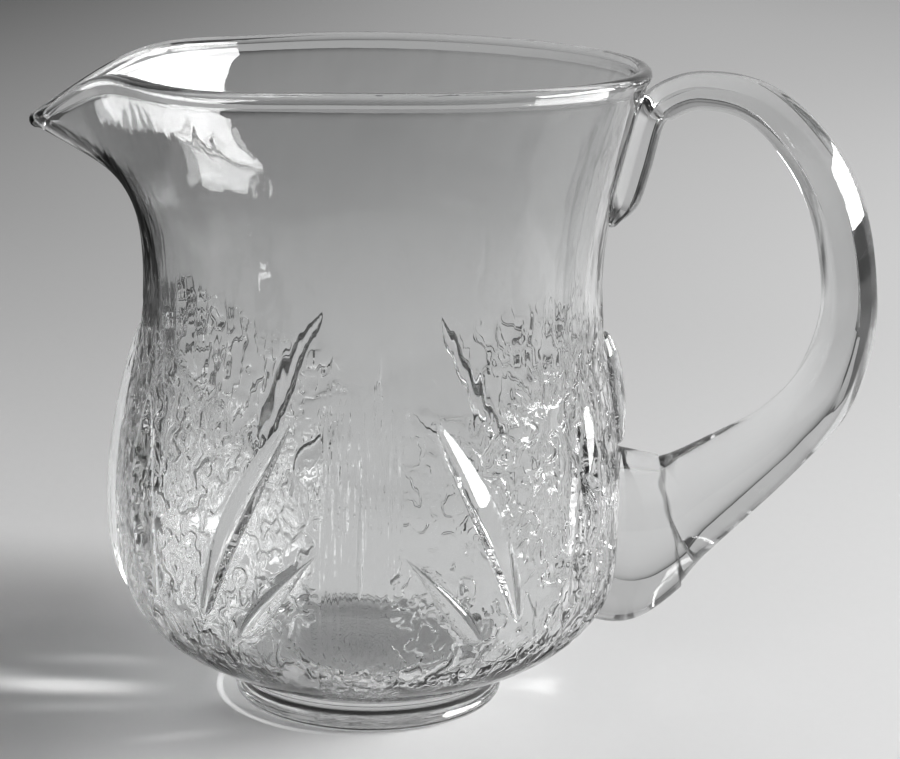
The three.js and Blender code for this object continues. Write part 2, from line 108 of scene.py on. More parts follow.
# %% Outline of the outer wall
def mix(start, end, share):
    return start + (end - start) * share


def smooth(value, low, high):
    share = np.clip((np.asarray(value, float) - low) / (high - low), 0.0, 1.0)
    return share * share * (3.0 - 2.0 * share)


def cubic(points, steps):
    a, b, c, d = (np.array(point, float) for point in points)
    t = np.linspace(0.0, 1.0, steps)[:, None]
    return (1 - t) ** 3 * a + 3 * (1 - t) ** 2 * t * b + 3 * (1 - t) * t ** 2 * c + t ** 3 * d


CURVE_STEPS = 600
body_rise = WAIST_HEIGHT - BELLY_HEIGHT
neck_rise = NECK_TOP - WAIST_HEIGHT
heel = cubic([
    (SEAT_RADIUS, 0.0),
    (mix(SEAT_RADIUS, BELLY_RADIUS, HEEL_OUT), HEEL_UP * BELLY_HEIGHT),
    (BELLY_RADIUS, BELLY_HEIGHT - BELLY_HANG * BELLY_HEIGHT),
    (BELLY_RADIUS, BELLY_HEIGHT),
], CURVE_STEPS)
body = cubic([
    (BELLY_RADIUS, BELLY_HEIGHT),
    (BELLY_RADIUS, BELLY_HEIGHT + BODY_EASE * body_rise),
    (WAIST_RADIUS, WAIST_HEIGHT - BODY_EASE * body_rise),
    (WAIST_RADIUS, WAIST_HEIGHT),
], CURVE_STEPS)
neck = cubic([
    (WAIST_RADIUS, WAIST_HEIGHT),
    (WAIST_RADIUS, WAIST_HEIGHT + NECK_EASE * neck_rise),
    (mix(WAIST_RADIUS, NECK_RADIUS, NECK_FLARE), NECK_TOP - NECK_EASE * neck_rise),
    (NECK_RADIUS, NECK_TOP),
], CURVE_STEPS)
outline = np.vstack([heel, body[1:], neck[1:]])
heading = np.gradient(outline, axis=0)
heading /= np.linalg.norm(heading, axis=1)[:, None]


def wall_at(height):
    """Point and outward normal of the outer wall at a height, both as radius and height."""
    point = np.stack([np.interp(height, outline[:, 1], outline[:, 0]), np.asarray(height, float)], -1)
    along = np.stack([np.interp(height, outline[:, 1], heading[:, axis]) for axis in (0, 1)], -1)
    return point, np.stack([along[..., 1], -along[..., 0]], -1)


waist_across = 2 * outline[outline[:, 1] > BELLY_HEIGHT, 0].min()
print(f"outline of {len(outline)} points, waist {waist_across / MM:.1f} mm")

# %% [markdown]
# Closed skins
# Every bit of this glass is round in section, so each one is a stack of rings with its two ends drawn to a
# point. One helper makes such a skin and turns its faces outwards. Glass needs that: a ray of light bends the
# right way only if it knows which side is glass, and an open seam would let it leak.


# %% Helper that closes a stack of rings into a skin
def ring_skin(name, rings):
    """Closed mesh object from rings, an array of stations by sides by 3, with a fan at each end."""
    stations, sides, _ = rings.shape
    points = np.vstack([rings.reshape(-1, 3), rings[0].mean(0), rings[-1].mean(0)])
    here = (np.arange(stations - 1)[:, None] * sides + np.arange(sides)[None]).ravel()
    beside = (np.arange(stations - 1)[:, None] * sides + (np.arange(sides)[None] + 1) % sides).ravel()
    walls = np.stack([here, beside, beside + sides, here + sides], -1).tolist()
    side = np.arange(sides)
    following = (side + 1) % sides
    first = np.stack([np.full(sides, stations * sides), following, side], -1).tolist()
    top = (stations - 1) * sides
    last = np.stack([np.full(sides, stations * sides + 1), top + side, top + following], -1).tolist()
    mesh = bpy.data.meshes.new(name)
    mesh.from_pydata(points.tolist(), [], walls + first + last)
    turn_outwards(mesh)
    mesh.shade_smooth()
    made = bpy.data.objects.new(name, mesh)
    bpy.context.scene.collection.objects.link(made)
    return made


def turn_outwards(mesh):
    shell = bmesh.new()
    shell.from_mesh(mesh)
    bmesh.ops.recalc_face_normals(shell, faces=shell.faces[:])
    shell.to_mesh(mesh)
    shell.free()


def triangle_count(made):
    return sum(len(polygon.vertices) - 2 for polygon in made.data.polygons)


# %% [markdown]
# The pulled spout
# A glass worker pulls the spout with one stroke of a tool while the rim is soft: a narrow part of the wall
# bends outwards and the rim beside it swells into two shoulders. Sculpting would do it, but a rule keeps it
# editable: along the spout's middle each short length of the wall is turned outwards, and every other place
# follows by a share that falls off with its angle from the spout.

# %% Shape of the spout
SPOUT_START = RIM_HEIGHT - 50.0 * MM
SPOUT_CURVE_TALL = 31.0 * MM
SPOUT_BEND = math.radians(47.0)
SPOUT_DRAW = 0.92
SPOUT_HALF_ANGLE, SPOUT_ROOT_HALF_ANGLE = 12.5, 24.0
SPOUT_TIP_ROUND, SPOUT_FALL_OFF = 2.5, 1.3
SHOULDER_SWELL, SHOULDER_DIP = 4.7 * MM, 1.3 * MM
SHOULDER_ANGLE, SHOULDER_SPREAD = 56.0, 21.0
SPOUT_STEP = 0.5 * MM


def turned_out(vectors, angle):
    x, y = vectors[..., 0], vectors[..., 1]
    return np.stack([x * np.cos(angle) + y * np.sin(angle), y * np.cos(angle) - x * np.sin(angle)], -1)


def spout_bend(height):
    return SPOUT_BEND * smooth(height, SPOUT_START, SPOUT_START + SPOUT_CURVE_TALL)


stations = np.append(np.arange(SPOUT_START, NECK_TOP, SPOUT_STEP), NECK_TOP)
plain_run = wall_at(stations)[0]
plain_steps = np.diff(plain_run, axis=0) * SPOUT_DRAW
bent_steps = turned_out(plain_steps, spout_bend((stations[1:] + stations[:-1]) / 2))
spout_run = np.vstack([plain_run[0], plain_run[0] + np.cumsum(bent_steps, axis=0)])


def spout_wall_at(height):
    pulled = np.stack([np.interp(height, stations, spout_run[:, axis]) for axis in (0, 1)], -1)
    return np.where((np.asarray(height) > SPOUT_START)[..., None], pulled, wall_at(height)[0])


def spout_share(angle, height):
    half = mix(SPOUT_ROOT_HALF_ANGLE, SPOUT_HALF_ANGLE, smooth(height, SPOUT_START, NECK_TOP))
    rounded = np.hypot(angle, SPOUT_TIP_ROUND) - SPOUT_TIP_ROUND
    return np.exp(-((rounded / half) ** SPOUT_FALL_OFF))


print(f"spout tip {spout_run[-1, 0] / MM:.1f} mm out at {(spout_run[-1, 1] + BASE) / MM:.1f} mm up")

# %% [markdown]
# The bowl
# The bowl is one skin that runs from the middle of its underside up the outside, over the fire-polished bead
# and down inside to its floor. The hammered lower half needs real dents, so its rows lie about a
# millimetre apart there, and further apart on the smooth neck and inside, to stay under 200,000 triangles.

# %% Rows and columns of the bowl
BOWL_COLUMNS = 420
COLUMN_CROWDING = 0.2
DENSE_ROW, NECK_ROW = 0.95 * MM, 2.0 * MM
DENSE_TOP = 106.0 * MM
BASE_ROWS, HEEL_ROWS, BEAD_ROWS, FLOOR_ROWS = 4, 2, 9, 5
BASE_FIRST, BASE_LAST, FLOOR_LAST = 0.2, 0.97, 0.9
BEAD_START, BEAD_END = -25.0, 205.0
INNER_ROW = 3.0 * MM


def even_rows(points, step):
    length = np.append(0.0, np.cumsum(np.linalg.norm(np.diff(points, axis=0), axis=1)))
    places = np.linspace(0.0, length[-1], max(2, round(length[-1] / step)))
    return np.stack([np.interp(places, length, points[:, axis]) for axis in (0, 1)], -1)


def bowl_rows():
    """Rows of the bowl as radius and height, the height on the wall that each belongs to, and its side."""
    outer_top = NECK_TOP - BEAD_RADIUS
    heights = outline[:, 1]
    dense = even_rows(outline[heights <= DENSE_TOP], DENSE_ROW)
    sparse = even_rows(outline[(heights > DENSE_TOP) & (heights <= outer_top)], NECK_ROW)
    under = np.stack([np.linspace(BASE_FIRST, BASE_LAST, BASE_ROWS) * SEAT_RADIUS, np.zeros(BASE_ROWS)], -1)
    turn = np.radians(np.linspace(BEAD_START, BEAD_END, BEAD_ROWS))
    bead = BEAD_CENTRE + BEAD_RADIUS * np.stack([np.cos(turn), np.sin(turn)], -1)
    inner_heights = even_rows(outline[heights <= outer_top], INNER_ROW)[::-1, 1]
    point, normal = wall_at(inner_heights)
    thickness = np.where(
        inner_heights < BELLY_HEIGHT,
        mix(FLOOR_THICK, BELLY_WALL, smooth(inner_heights, 0.0, BELLY_HEIGHT)),
        mix(BELLY_WALL, RIM_WALL, smooth(inner_heights, BELLY_HEIGHT, NECK_TOP)),
    )
    inner = point - normal * thickness[:, None]
    inward = np.linspace(0.0, FLOOR_LAST, FLOOR_ROWS)[1:, None]
    floor = mix(inner[-1], np.array([0.0, FLOOR_THICK]), inward)
    rows = np.vstack([under, dense, sparse, bead, inner, floor])
    belongs = np.concatenate([
        under[:, 1], dense[:, 1], sparse[:, 1],
        np.full(BEAD_ROWS, NECK_TOP), inner_heights, 0.0 * floor[:, 1],
    ])
    outside = np.zeros(len(rows))
    outside[BASE_ROWS + HEEL_ROWS:BASE_ROWS + len(dense) + len(sparse)] = 1.0
    return rows, belongs, outside


def bowl_rings(rows, belongs):
    even = np.arange(BOWL_COLUMNS) * 2 * math.pi / BOWL_COLUMNS
    turn = even - COLUMN_CROWDING * np.sin(even)
    angle = np.degrees(np.minimum(turn, 2 * math.pi - turn))[None]
    tall = belongs[:, None]
    pulled = spout_wall_at(belongs) + turned_out(rows - wall_at(belongs)[0], spout_bend(belongs))
    share = spout_share(angle, tall)[..., None]
    place = mix(rows[:, None], pulled[:, None], share)
    off_shoulder = (angle - SHOULDER_ANGLE) / SHOULDER_SPREAD
    shoulder = np.exp(-(off_shoulder ** 2)) * smooth(tall, SPOUT_START, NECK_TOP)
    radius = place[..., 0] + SHOULDER_SWELL * shoulder
    height = place[..., 1] - SHOULDER_DIP * shoulder + BASE
    return np.stack([-radius * np.cos(turn), -radius * np.sin(turn), height], -1)


rows, belongs, outside = bowl_rows()
bowl = ring_skin("bowl_glass", bowl_rings(rows, belongs))
side_mark = bowl.data.attributes.new("outside", "FLOAT", "POINT")
side_mark.data.foreach_set("value", np.append(np.repeat(outside, BOWL_COLUMNS), [0.0, 0.0]))
print(f"bowl of {len(rows)} rows, {triangle_count(bowl)} triangles")

# %% [markdown]
# Wires that do arithmetic
# Materials and Geometry Nodes both work by small nodes of arithmetic, which are hard to read as a list of
# links. A class that wraps a socket lets Python's operators add those nodes, so that 1 - mask reads as maths.

# %% A socket that takes Python's operators


class Wire:
    """A node's output socket, in a material or a Geometry Nodes tree."""

    def __init__(self, tree, socket):
        self.tree = tree
        self.socket = socket

    @staticmethod
    def node(tree, kind, settings=None, sockets=None, outlet=0):
        made = tree.nodes.new(kind)
        for name, value in (settings or {}).items():
            setattr(made, name, value)
        for name, value in (sockets or {}).items():
            if isinstance(value, Wire):
                tree.links.new(value.socket, made.inputs[name])
            else:
                made.inputs[name].default_value = value
        return Wire(tree, made.outputs[outlet])

    def maths(self, operation, *values):
        return Wire.node(self.tree, "ShaderNodeMath", {"operation": operation}, dict(enumerate(values)))

    def vector(self, operation, *values):
        return Wire.node(self.tree, "ShaderNodeVectorMath", {"operation": operation}, dict(enumerate(values)))

    def scaled(self, amount):
        return Wire.node(
            self.tree, "ShaderNodeVectorMath", {"operation": "SCALE"}, {0: self, "Scale": amount},
        )

    def smooth(self, low, high):
        return Wire.node(
            self.tree, "ShaderNodeMapRange", {"interpolation_type": "SMOOTHSTEP"},
            {"Value": self, "From Min": low, "From Max": high},
        )

    def below(self, limit):
        return self.maths("LESS_THAN", self, limit)

    def above(self, limit):
        return self.maths("GREATER_THAN", self, limit)

    def most(self, *others):
        largest = self
        for other in others:
            largest = self.maths("MAXIMUM", largest, other)
        return largest

    def split(self):
        parts = Wire.node(self.tree, "ShaderNodeSeparateXYZ", sockets={0: self}).socket.node
        return [Wire(self.tree, socket) for socket in parts.outputs]

    def __add__(self, other):
        return self.maths("ADD", self, other)

    def __radd__(self, other):
        return self.maths("ADD", other, self)

    def __sub__(self, other):
        return self.maths("SUBTRACT", self, other)

    def __rsub__(self, other):
        return self.maths("SUBTRACT", other, self)

    def __mul__(self, other):
        return self.maths("MULTIPLY", self, other)

    def __rmul__(self, other):
        return self.maths("MULTIPLY", other, self)

    def __truediv__(self, other):
        return self.maths("DIVIDE", self, other)

    def __rtruediv__(self, other):
        return self.maths("DIVIDE", other, self)

    def __pow__(self, other):
        return self.maths("POWER", self, other)

    def __neg__(self):
        return self.maths("MULTIPLY", self, -1.0)

    def __abs__(self):
        return self.maths("ABSOLUTE", self)


# %% [markdown]
# Clear glass
# The real glass is colourless and fire-polished, so what shows is what it bends and mirrors. A Glass shader
# would do, but Principled with full transmission also exports. The wall has faint cords, streaks left by the
# blowing. It also has crisp edges to its dents and faint flutes in the smooth strips, which are too fine for
# the mesh. All three are bump. Painted shade makes the neck and the handle's upper part darker. The laid bits
# were drawn out while hot, so theirs is smoother, with a painted shade line along the crease where the handle
# joins its boss. Where two bits are fused there is no surface at all, so faces that lie inside a neighbour
# get a seam that lets light straight through.

# %% Glass of the wall, of the laid bits, and the fused seams
GLASS_INDEX = 1.5
BLACK, WHITE, GLASS_WHITE = (0.0, 0.0, 0.0), (1.0, 1.0, 1.0), (0.995, 1.0, 1.0)
# Tones of the glass. The darker neck and the darker upper handle are painted shade, as the glass is
# colourless.
NECK_SHADED_TONE, BELLY_TINT, BLADE_TINT = 0.77, 0.95, 0.97
ARM_TINT, GRIP_SHADED_TONE, FOOT_TINT = 0.92, 0.77, 0.82
NECK_SHADE_HEIGHTS, GRIP_SHADE_HEIGHTS = (105 * MM, 165 * MM), (75 * MM, 110 * MM)
STREAK_TINT, STREAK_ROUGHNESS = 0.03, 0.004
CORD_DEPTH, CORD_SIZE, CORD_STRETCH = 0.12, 6 * MM, (1.0, 1.0, 0.25)
LAID_CORD_DEPTH, LAID_CORD_SIZE, LAID_CORD_SEED = 0.05, 9 * MM, 1.0
DENT_DEPTH, DENT_SIZE, DENT_STRETCH, DENT_SEED = 0.7, 4.6 * MM, (1.0, 1.0, 0.7), 4.0
SOFT_EDGE, CRISP_EDGE = 0.09, 0.035
FLUTE_DEPTH, FLUTE_SIZE, FLUTE_STRETCH, FLUTE_SEED = 0.4, 1.6 * MM, (1.0, 1.0, 0.05), 7.0
FLUTE_SIDES, FLUTE_HEIGHTS = (9.0 * MM, 10.5 * MM), (75 * MM, 110 * MM)
# A painted shade line along the crease where the handle joins its boss.
CREASE_PAINTED_SHADE, CREASE_LINE = 0.65, (0.3 * MM, 1.1 * MM)
CREASE_WANDER, CREASE_WANDER_SIZE, CREASE_SEED = 5.0 * MM, 12 * MM, 5.0


def object_place(tree):
    return Wire.node(tree, "ShaderNodeTexCoord", outlet="Object")


def stretched(place, stretch):
    return Wire.node(place.tree, "ShaderNodeMapping", sockets={"Vector": place, "Scale": stretch})


def noise(place, size, detail=1.0, seed=0.0):
    return Wire.node(
        place.tree, "ShaderNodeTexNoise", {"noise_dimensions": "4D"},
        {"Vector": place, "W": seed, "Scale": 1.0 / size, "Detail": detail},
    )


def colour_between(tree, share, low, high):
    """Colour that goes from low to high as a share goes from 0 to 1."""
    return Wire.node(
        tree, "ShaderNodeMix", {"data_type": "RGBA"}, {0: share, 6: (*low, 1.0), 7: (*high, 1.0)}, outlet=2,
    )


def start_glass(name):
    material = bpy.data.materials.new(name)
    material.use_nodes = True
    shader = material.node_tree.nodes["Principled BSDF"]
    shader.inputs["Transmission Weight"].default_value = 1.0
    shader.inputs["IOR"].default_value = GLASS_INDEX
    return material, material.node_tree, shader


def finish_glass(tree, shader, streak, height, tone):
    tint = colour_between(tree, tone - STREAK_TINT * streak, BLACK, GLASS_WHITE)
    bump = Wire.node(tree, "ShaderNodeBump", sockets={"Height": height, "Distance": MM, "Strength": 1.0})
    tree.links.new(tint.socket, shader.inputs["Base Color"])
    tree.links.new((STREAK_ROUGHNESS * streak).socket, shader.inputs["Roughness"])
    tree.links.new(bump.socket, shader.inputs["Normal"])


def wall_glass():
    material, tree, shader = start_glass("blown wall glass")
    place = object_place(tree)
    dented = Wire.node(tree, "ShaderNodeAttribute", {"attribute_name": "hammered"}, outlet="Fac")
    cords = noise(stretched(place, CORD_STRETCH), CORD_SIZE, 1.5)
    grain = noise(stretched(place, DENT_STRETCH), DENT_SIZE, 1.0, seed=DENT_SEED)
    crisp = grain.smooth(0.5 - CRISP_EDGE, 0.5 + CRISP_EDGE) - grain.smooth(0.5 - SOFT_EDGE, 0.5 + SOFT_EDGE)
    flutes = noise(stretched(place, FLUTE_STRETCH), FLUTE_SIZE, 1.0, seed=FLUTE_SEED)
    x, _, z = place.split()
    strip = (1 - abs(x).smooth(*FLUTE_SIDES)) * (1 - z.smooth(*FLUTE_HEIGHTS))
    height = CORD_DEPTH * cords + DENT_DEPTH * dented * crisp + FLUTE_DEPTH * strip * flutes
    # Painted shade darkens the neck.
    tone = BELLY_TINT + (NECK_SHADED_TONE - BELLY_TINT) * z.smooth(*NECK_SHADE_HEIGHTS)
    finish_glass(tree, shader, cords, height, tone)
    return material


def laid_glass(name, low_tone, high_tone, join=None):
    """Glass of a laid bit. join gives a point and a direction in x and z, with painted shade on a crease
    round it.
    """
    material, tree, shader = start_glass(name)
    place = object_place(tree)
    cords = noise(place, LAID_CORD_SIZE, 2.0, seed=LAID_CORD_SEED)
    x, _, z = place.split()
    # Between its two tones a laid bit gets darker upwards: painted shade on the handle's upper part.
    tone = low_tone + (high_tone - low_tone) * z.smooth(*GRIP_SHADE_HEIGHTS)
    # Painted shade along the crease round the join.
    if join:
        (join_x, join_z), (out_x, out_z) = join
        wander = CREASE_WANDER * (noise(place, CREASE_WANDER_SIZE, 1.0, seed=CREASE_SEED) - 0.5)
        away = (x - join_x) * out_x + (z - join_z) * out_z + wander
        tone = tone * (1 - CREASE_PAINTED_SHADE * (1 - abs(away).smooth(*CREASE_LINE)))
    finish_glass(tree, shader, cords, LAID_CORD_DEPTH * cords, tone)
    return material


def fused_seam():
    material = bpy.data.materials.new("fused seam")
    material.use_nodes = True
    shader = material.node_tree.nodes["Principled BSDF"]
    shader.inputs["Alpha"].default_value = 0.0
    return material


WALL_GLASS = wall_glass()
LAID_GLASS = laid_glass("laid blade glass", BLADE_TINT, BLADE_TINT)
FOOT_GLASS = laid_glass("pressed foot glass", FOOT_TINT, FOOT_TINT)
FUSED_SEAM = fused_seam()
print("glass finishes:", WALL_GLASS.name, "and", LAID_GLASS.name, "and", FOOT_GLASS.name)

# %% [markdown]
# The blades
# Pointed bits of hot glass are trailed on the lower half: a fine tip above, widest near the belly, a blunt
# end near the foot. Each follows a bowed line on the round wall. They could be modelled one by one, but they
# all obey one rule, so one Geometry Nodes tree makes them: it takes a flat grid as length by girth, throws
# each point at the wall to find where the wall is, and lifts it off by the blade's crest. On most of them the
# ridge lies to one side of the middle. The underside sinks into the wall a little, as hot glass does.


# %% Helpers that start, end and bake a Geometry Nodes tree
def start_tree(name, inlets):
    tree = bpy.data.node_groups.new(name, "GeometryNodeTree")
    tree.interface.new_socket("Geometry", in_out="INPUT", socket_type="NodeSocketGeometry")
    identifiers = {}
    for title, kind in inlets.items():
        made = tree.interface.new_socket(title, in_out="INPUT", socket_type="NodeSocket" + kind)
        identifiers[title] = made.identifier
    tree.interface.new_socket("Geometry", in_out="OUTPUT", socket_type="NodeSocketGeometry")
    source = tree.nodes.new("NodeGroupInput")
    wires = {socket.name: Wire(tree, socket) for socket in source.outputs if socket.name}
    return tree, wires, identifiers


def end_tree(tree, geometry, material):
    real = Wire.node(tree, "GeometryNodeRealizeInstances", sockets={"Geometry": geometry})
    coated = Wire.node(tree, "GeometryNodeSetMaterial", sockets={"Geometry": real, "Material": material})
    tree.links.new(coated.socket, tree.nodes.new("NodeGroupOutput").inputs[0])


def run_tree(made, tree, identifiers, values):
    modifier = made.modifiers.new(tree.name, "NODES")
    modifier.node_group = tree
    for title, value in values.items():
        modifier[identifiers[title]] = value
    view = bpy.context.evaluated_depsgraph_get()
    shaped = made.evaluated_get(view)
    mesh = bpy.data.meshes.new_from_object(shaped, preserve_all_data_layers=True, depsgraph=view)
    made.modifiers.clear()
    made.data = mesh
    return made


def shape_of(tree, thing):
    return Wire.node(
        tree, "GeometryNodeObjectInfo", {"transform_space": "RELATIVE"}, {"Object": thing}, outlet="Geometry"
    )


# %% Tree that lays one blade on the wall
CAST_REACH = 0.2
FULL_TIP, FULL_END, FULL_BLUNT = 0.012, 0.93, 0.55
CREST_ROUND = 1.5
ROUND_TIP, ROUND_END = 0.015, 0.06
WELD_REACH = 0.004 * MM


def blade_tree():
    tree, inlet, identifiers = start_tree("laid blade", {
        "Wall": "Object", "Tip Angle": "Float", "Bow Angle": "Float", "End Angle": "Float",
        "Tip Height": "Float", "Bow Height": "Float", "End Height": "Float",
        "Width": "Float", "Crest": "Float", "Pace": "Float", "Ridge": "Float", "Sink": "Float",
        "Stations": "Int", "Sides": "Int", "Material": "Material",
    })
    wall = shape_of(tree, inlet["Wall"])
    outward = Wire.node(tree, "GeometryNodeInputNormal")
    grid = Wire.node(tree, "GeometryNodeMeshGrid", sockets={
        "Size X": 1.0, "Size Y": 1.0, "Vertices X": inlet["Stations"], "Vertices Y": inlet["Sides"],
    })
    across, girth, _ = Wire.node(tree, "GeometryNodeInputPosition").split()
    along = across + 0.5
    turn = (girth + 0.5) * (2 * math.pi)

    def bowed(measure):
        tip, bow, end = (inlet[f"{spot} {measure}"] for spot in ("Tip", "Bow", "End"))
        back = 1 - along
        line = back * back * tip + 2 * along * back * bow + along * along * end
        return line, 2 * (back * (bow - tip) + along * (end - bow))

    def cast(angle, height):
        sine, cosine = angle.maths("SINE", angle), angle.maths("COSINE", angle)
        inward = Wire.node(tree, "ShaderNodeCombineXYZ", sockets={"X": -sine, "Y": cosine})
        start = Wire.node(tree, "ShaderNodeCombineXYZ", sockets={
            "X": sine * CAST_REACH, "Y": cosine * -CAST_REACH, "Z": height,
        })
        settings = {"data_type": "FLOAT_VECTOR", "mapping": "INTERPOLATED"}
        hit = Wire.node(tree, "GeometryNodeRaycast", settings, {
            "Target Geometry": wall, "Attribute": outward, "Source Position": start, "Ray Direction": inward,
            "Ray Length": CAST_REACH,
        }, outlet="Hit Position")
        return hit, Wire(tree, hit.socket.node.outputs["Attribute"])

    angle, angle_run = bowed("Angle")
    height, height_run = bowed("Height")
    spot, spot_normal = cast(angle, height)
    spot_x, spot_y, _ = spot.split()
    radius = spot_x.maths("SQRT", spot_x * spot_x + spot_y * spot_y)
    _, _, lean = spot_normal.split()
    steep = lean.maths("SQRT", 1 - lean * lean)
    run_round, run_up = angle_run * radius, height_run / steep
    run = run_up.maths("SQRT", run_round * run_round + run_up * run_up)

    paced = FULL_TIP + (FULL_END - FULL_TIP) * along ** inlet["Pace"]
    swell = along.maths("SINE", math.pi * paced) ** FULL_BLUNT
    tip_round = along.maths("SQRT", along.maths("MINIMUM", along / ROUND_TIP, 1.0))
    past_end = ((along - (1 - ROUND_END)) / ROUND_END).most(0.0)
    end_round = along.maths("SQRT", (1 - past_end * past_end).most(0.0))
    fullness = swell * tip_round * end_round

    share = turn.maths("COSINE", turn)
    aside = share * fullness * inlet["Width"] * 0.5
    seat_angle = angle - aside * (run_up / run) / radius
    seat_height = height + aside * (run_round / run) * steep
    seat, seat_normal = cast(seat_angle, seat_height)
    above = turn.maths("SINE", turn).above(0.0)
    ridge = inlet["Ridge"]
    fall = ((share - ridge) / (1 - ridge)).most((ridge - share) / (1 + ridge))
    crown = (inlet["Crest"] + inlet["Sink"]) * fullness * (1 - fall ** CREST_ROUND)
    lift = above * crown - inlet["Sink"]
    placed = Wire.node(tree, "GeometryNodeSetPosition", sockets={
        "Geometry": grid, "Position": seat.vector("ADD", seat, seat_normal.scaled(lift)),
    })
    closed = Wire.node(tree, "GeometryNodeMergeByDistance", sockets={
        "Geometry": placed, "Distance": WELD_REACH,
    })
    end_tree(tree, closed, inlet["Material"])
    return tree, identifiers


LAY_BLADE, LAY_BLADE_INLETS = blade_tree()
print("blade tree of", len(LAY_BLADE.nodes), "nodes")

# %% [markdown]
# Seventeen blades, in mirrored places
# A tall blade runs under the spout and, broken by the boss, under the handle. Upright, slanting and short
# ones stand in mirrored pairs at the front and the back, with a thin midrib in each smooth strip. A blade has
# its angles in degrees from the front, and its heights, width and crest in millimetres.

# %% Lay the blades
SINK = 0.5 * MM
EDGE_SPREAD = 1.05
BLADE_STATIONS, BLADE_SIDES = 97, 37
SHARP_EDGE = math.radians(42.0)
BOSS_HEIGHT, BOSS_TALL, BOSS_WIDE = 38.2 * MM, 50.0 * MM, 35.0 * MM
TALL = dict(angles=(90, 90, 90), heights=(96.7, 52.7, 4.7), width=8.5, crest=4.0, fullest=0.42, ridge=0.0)
UPRIGHT = dict(angles=(61.5, 57.5, 51.5), heights=(84, 60, 30), width=10, crest=2.8, fullest=0.5, ridge=0.55)
SLANT = dict(angles=(16.5, 29.8, 36), heights=(86.5, 60, 31), width=8, crest=2.4, fullest=0.5, ridge=-0.65)
SHORT = dict(angles=(8.5, 17, 26), heights=(53, 42.5, 27), width=6.4, crest=2.0, fullest=0.72, ridge=0.3)
MIDRIB = dict(angles=(0, 0, 0), heights=(98.7, 70, 40), width=2.6, crest=0.4, fullest=0.8, ridge=0.0)


def straight(blade, top, bottom):
    return {**blade, "heights": (top, (top + bottom) / 2, bottom)}


def lay_blade(node, blade, side, back):
    mirror = side * (-1 if back else 1)
    angles = [math.radians((180 if back else 0) + mirror * angle) for angle in blade["angles"]]
    heights = [height * MM + BASE for height in blade["heights"]]
    made = bpy.data.objects.new(node + "_glass", bpy.data.meshes.new(node))
    bpy.context.scene.collection.objects.link(made)
    values = {
        "Wall": bowl, "Width": blade["width"] * MM * EDGE_SPREAD, "Crest": blade["crest"] * MM, "Sink": SINK,
        "Pace": math.log(0.5) / math.log(blade["fullest"]), "Ridge": mirror * blade["ridge"],
        "Stations": BLADE_STATIONS, "Sides": BLADE_SIDES, "Material": LAID_GLASS,
    }
    for spot, angle, height in zip(("Tip", "Bow", "End"), angles, heights):
        values[spot + " Angle"] = angle
        values[spot + " Height"] = height
    run_tree(made, LAY_BLADE, LAY_BLADE_INLETS, values)
    turn_outwards(made.data)
    made.data.shade_smooth()
    made.data.set_sharp_from_angle(angle=SHARP_EDGE)
    return made


boss_top = (BOSS_HEIGHT + BOSS_TALL / 2 + 2 * SEAT_GAP) / MM
boss_bottom = (BOSS_HEIGHT - BOSS_TALL / 2 - SEAT_GAP) / MM
tall_tip, _, tall_end = TALL["heights"]
blades = {}
for node, blade, side in (
    ("blade_tall_spout", TALL, -1),
    ("blade_tall_handle_upper", straight(TALL, tall_tip, boss_top), 1),
    ("blade_tall_handle_lower", straight(TALL, boss_bottom, tall_end), 1),
):
    blades[node] = lay_blade(node, blade, side, False)
for back, face in ((False, "front"), (True, "back")):
    for side, hand in ((-1, "spout"), (1, "handle")):
        for title, blade in (("upright", UPRIGHT), ("slant", SLANT), ("short", SHORT)):
            node = f"blade_{title}_{face}_{hand}"
            blades[node] = lay_blade(node, blade, side, back)
    blades["midrib_" + face] = lay_blade("midrib_" + face, MIDRIB, 1, back)
print(len(blades), "blades of", triangle_count(blades["blade_tall_spout"]), "triangles each")

# %% [markdown]
# The foot, the boss and the handle
# The foot is a pressed disc. The boss is a gob on the wall that carries the handle. The handle is one drawn
# rod: thick where it is stuck on the boss, slim at the top, with its end folded down the wall under the rim.
# A curve with a bevel could make the rod, but its section changes from an oval to a strap with crisp edges,
# whose flat sides come nearer to each other outwards and end in a straighter chamfer. So it is a stack of
# sections along a smooth spine, at the same stations as in the solid part.

# %% Foot
FOOT_EDGE, FOOT_WAIST = 1.8 * MM, 1.2 * MM
FOOT_UNDER_RINGS, FOOT_TOP_RINGS = (0.3, 0.9), (1.0, 0.97, 0.3)
FOOT_EDGE_STEPS, FOOT_SIDE_STEPS = 7, 13
ROUND_SIDES = 192


def quadratic(points, steps):
    a, b, c = (np.array(point, float) for point in points)
    t = np.linspace(0.0, 1.0, steps)[:, None]
    return (1 - t) ** 2 * a + 2 * (1 - t) * t * b + t ** 2 * c


def spun(profile):
    turn = np.arange(ROUND_SIDES) * 2 * math.pi / ROUND_SIDES
    radius, height = profile[:, 0, None], profile[:, 1, None]
    return np.stack([radius * np.cos(turn), radius * np.sin(turn), height + 0 * turn], -1)


foot_edge = quadratic([
    (FOOT_RADIUS - FOOT_EDGE, 0.0),
    (FOOT_RADIUS, 0.0),
    (FOOT_RADIUS, FOOT_EDGE),
], FOOT_EDGE_STEPS)
foot_side = quadratic([
    (FOOT_RADIUS, FOOT_EDGE),
    (FOOT_RADIUS - 2 * FOOT_WAIST, (FOOT_EDGE + FOOT_HEIGHT) / 2),
    (FOOT_RADIUS, FOOT_HEIGHT),
], FOOT_SIDE_STEPS)[1:]
buried_top = np.array([(share * FOOT_RADIUS, BASE + SINK) for share in FOOT_TOP_RINGS])
under = np.array([(share * FOOT_RADIUS, 0.0) for share in FOOT_UNDER_RINGS])
foot = ring_skin("foot_glass", spun(np.vstack([under, foot_edge, foot_side, buried_top])))
print("foot of", triangle_count(foot), "triangles")

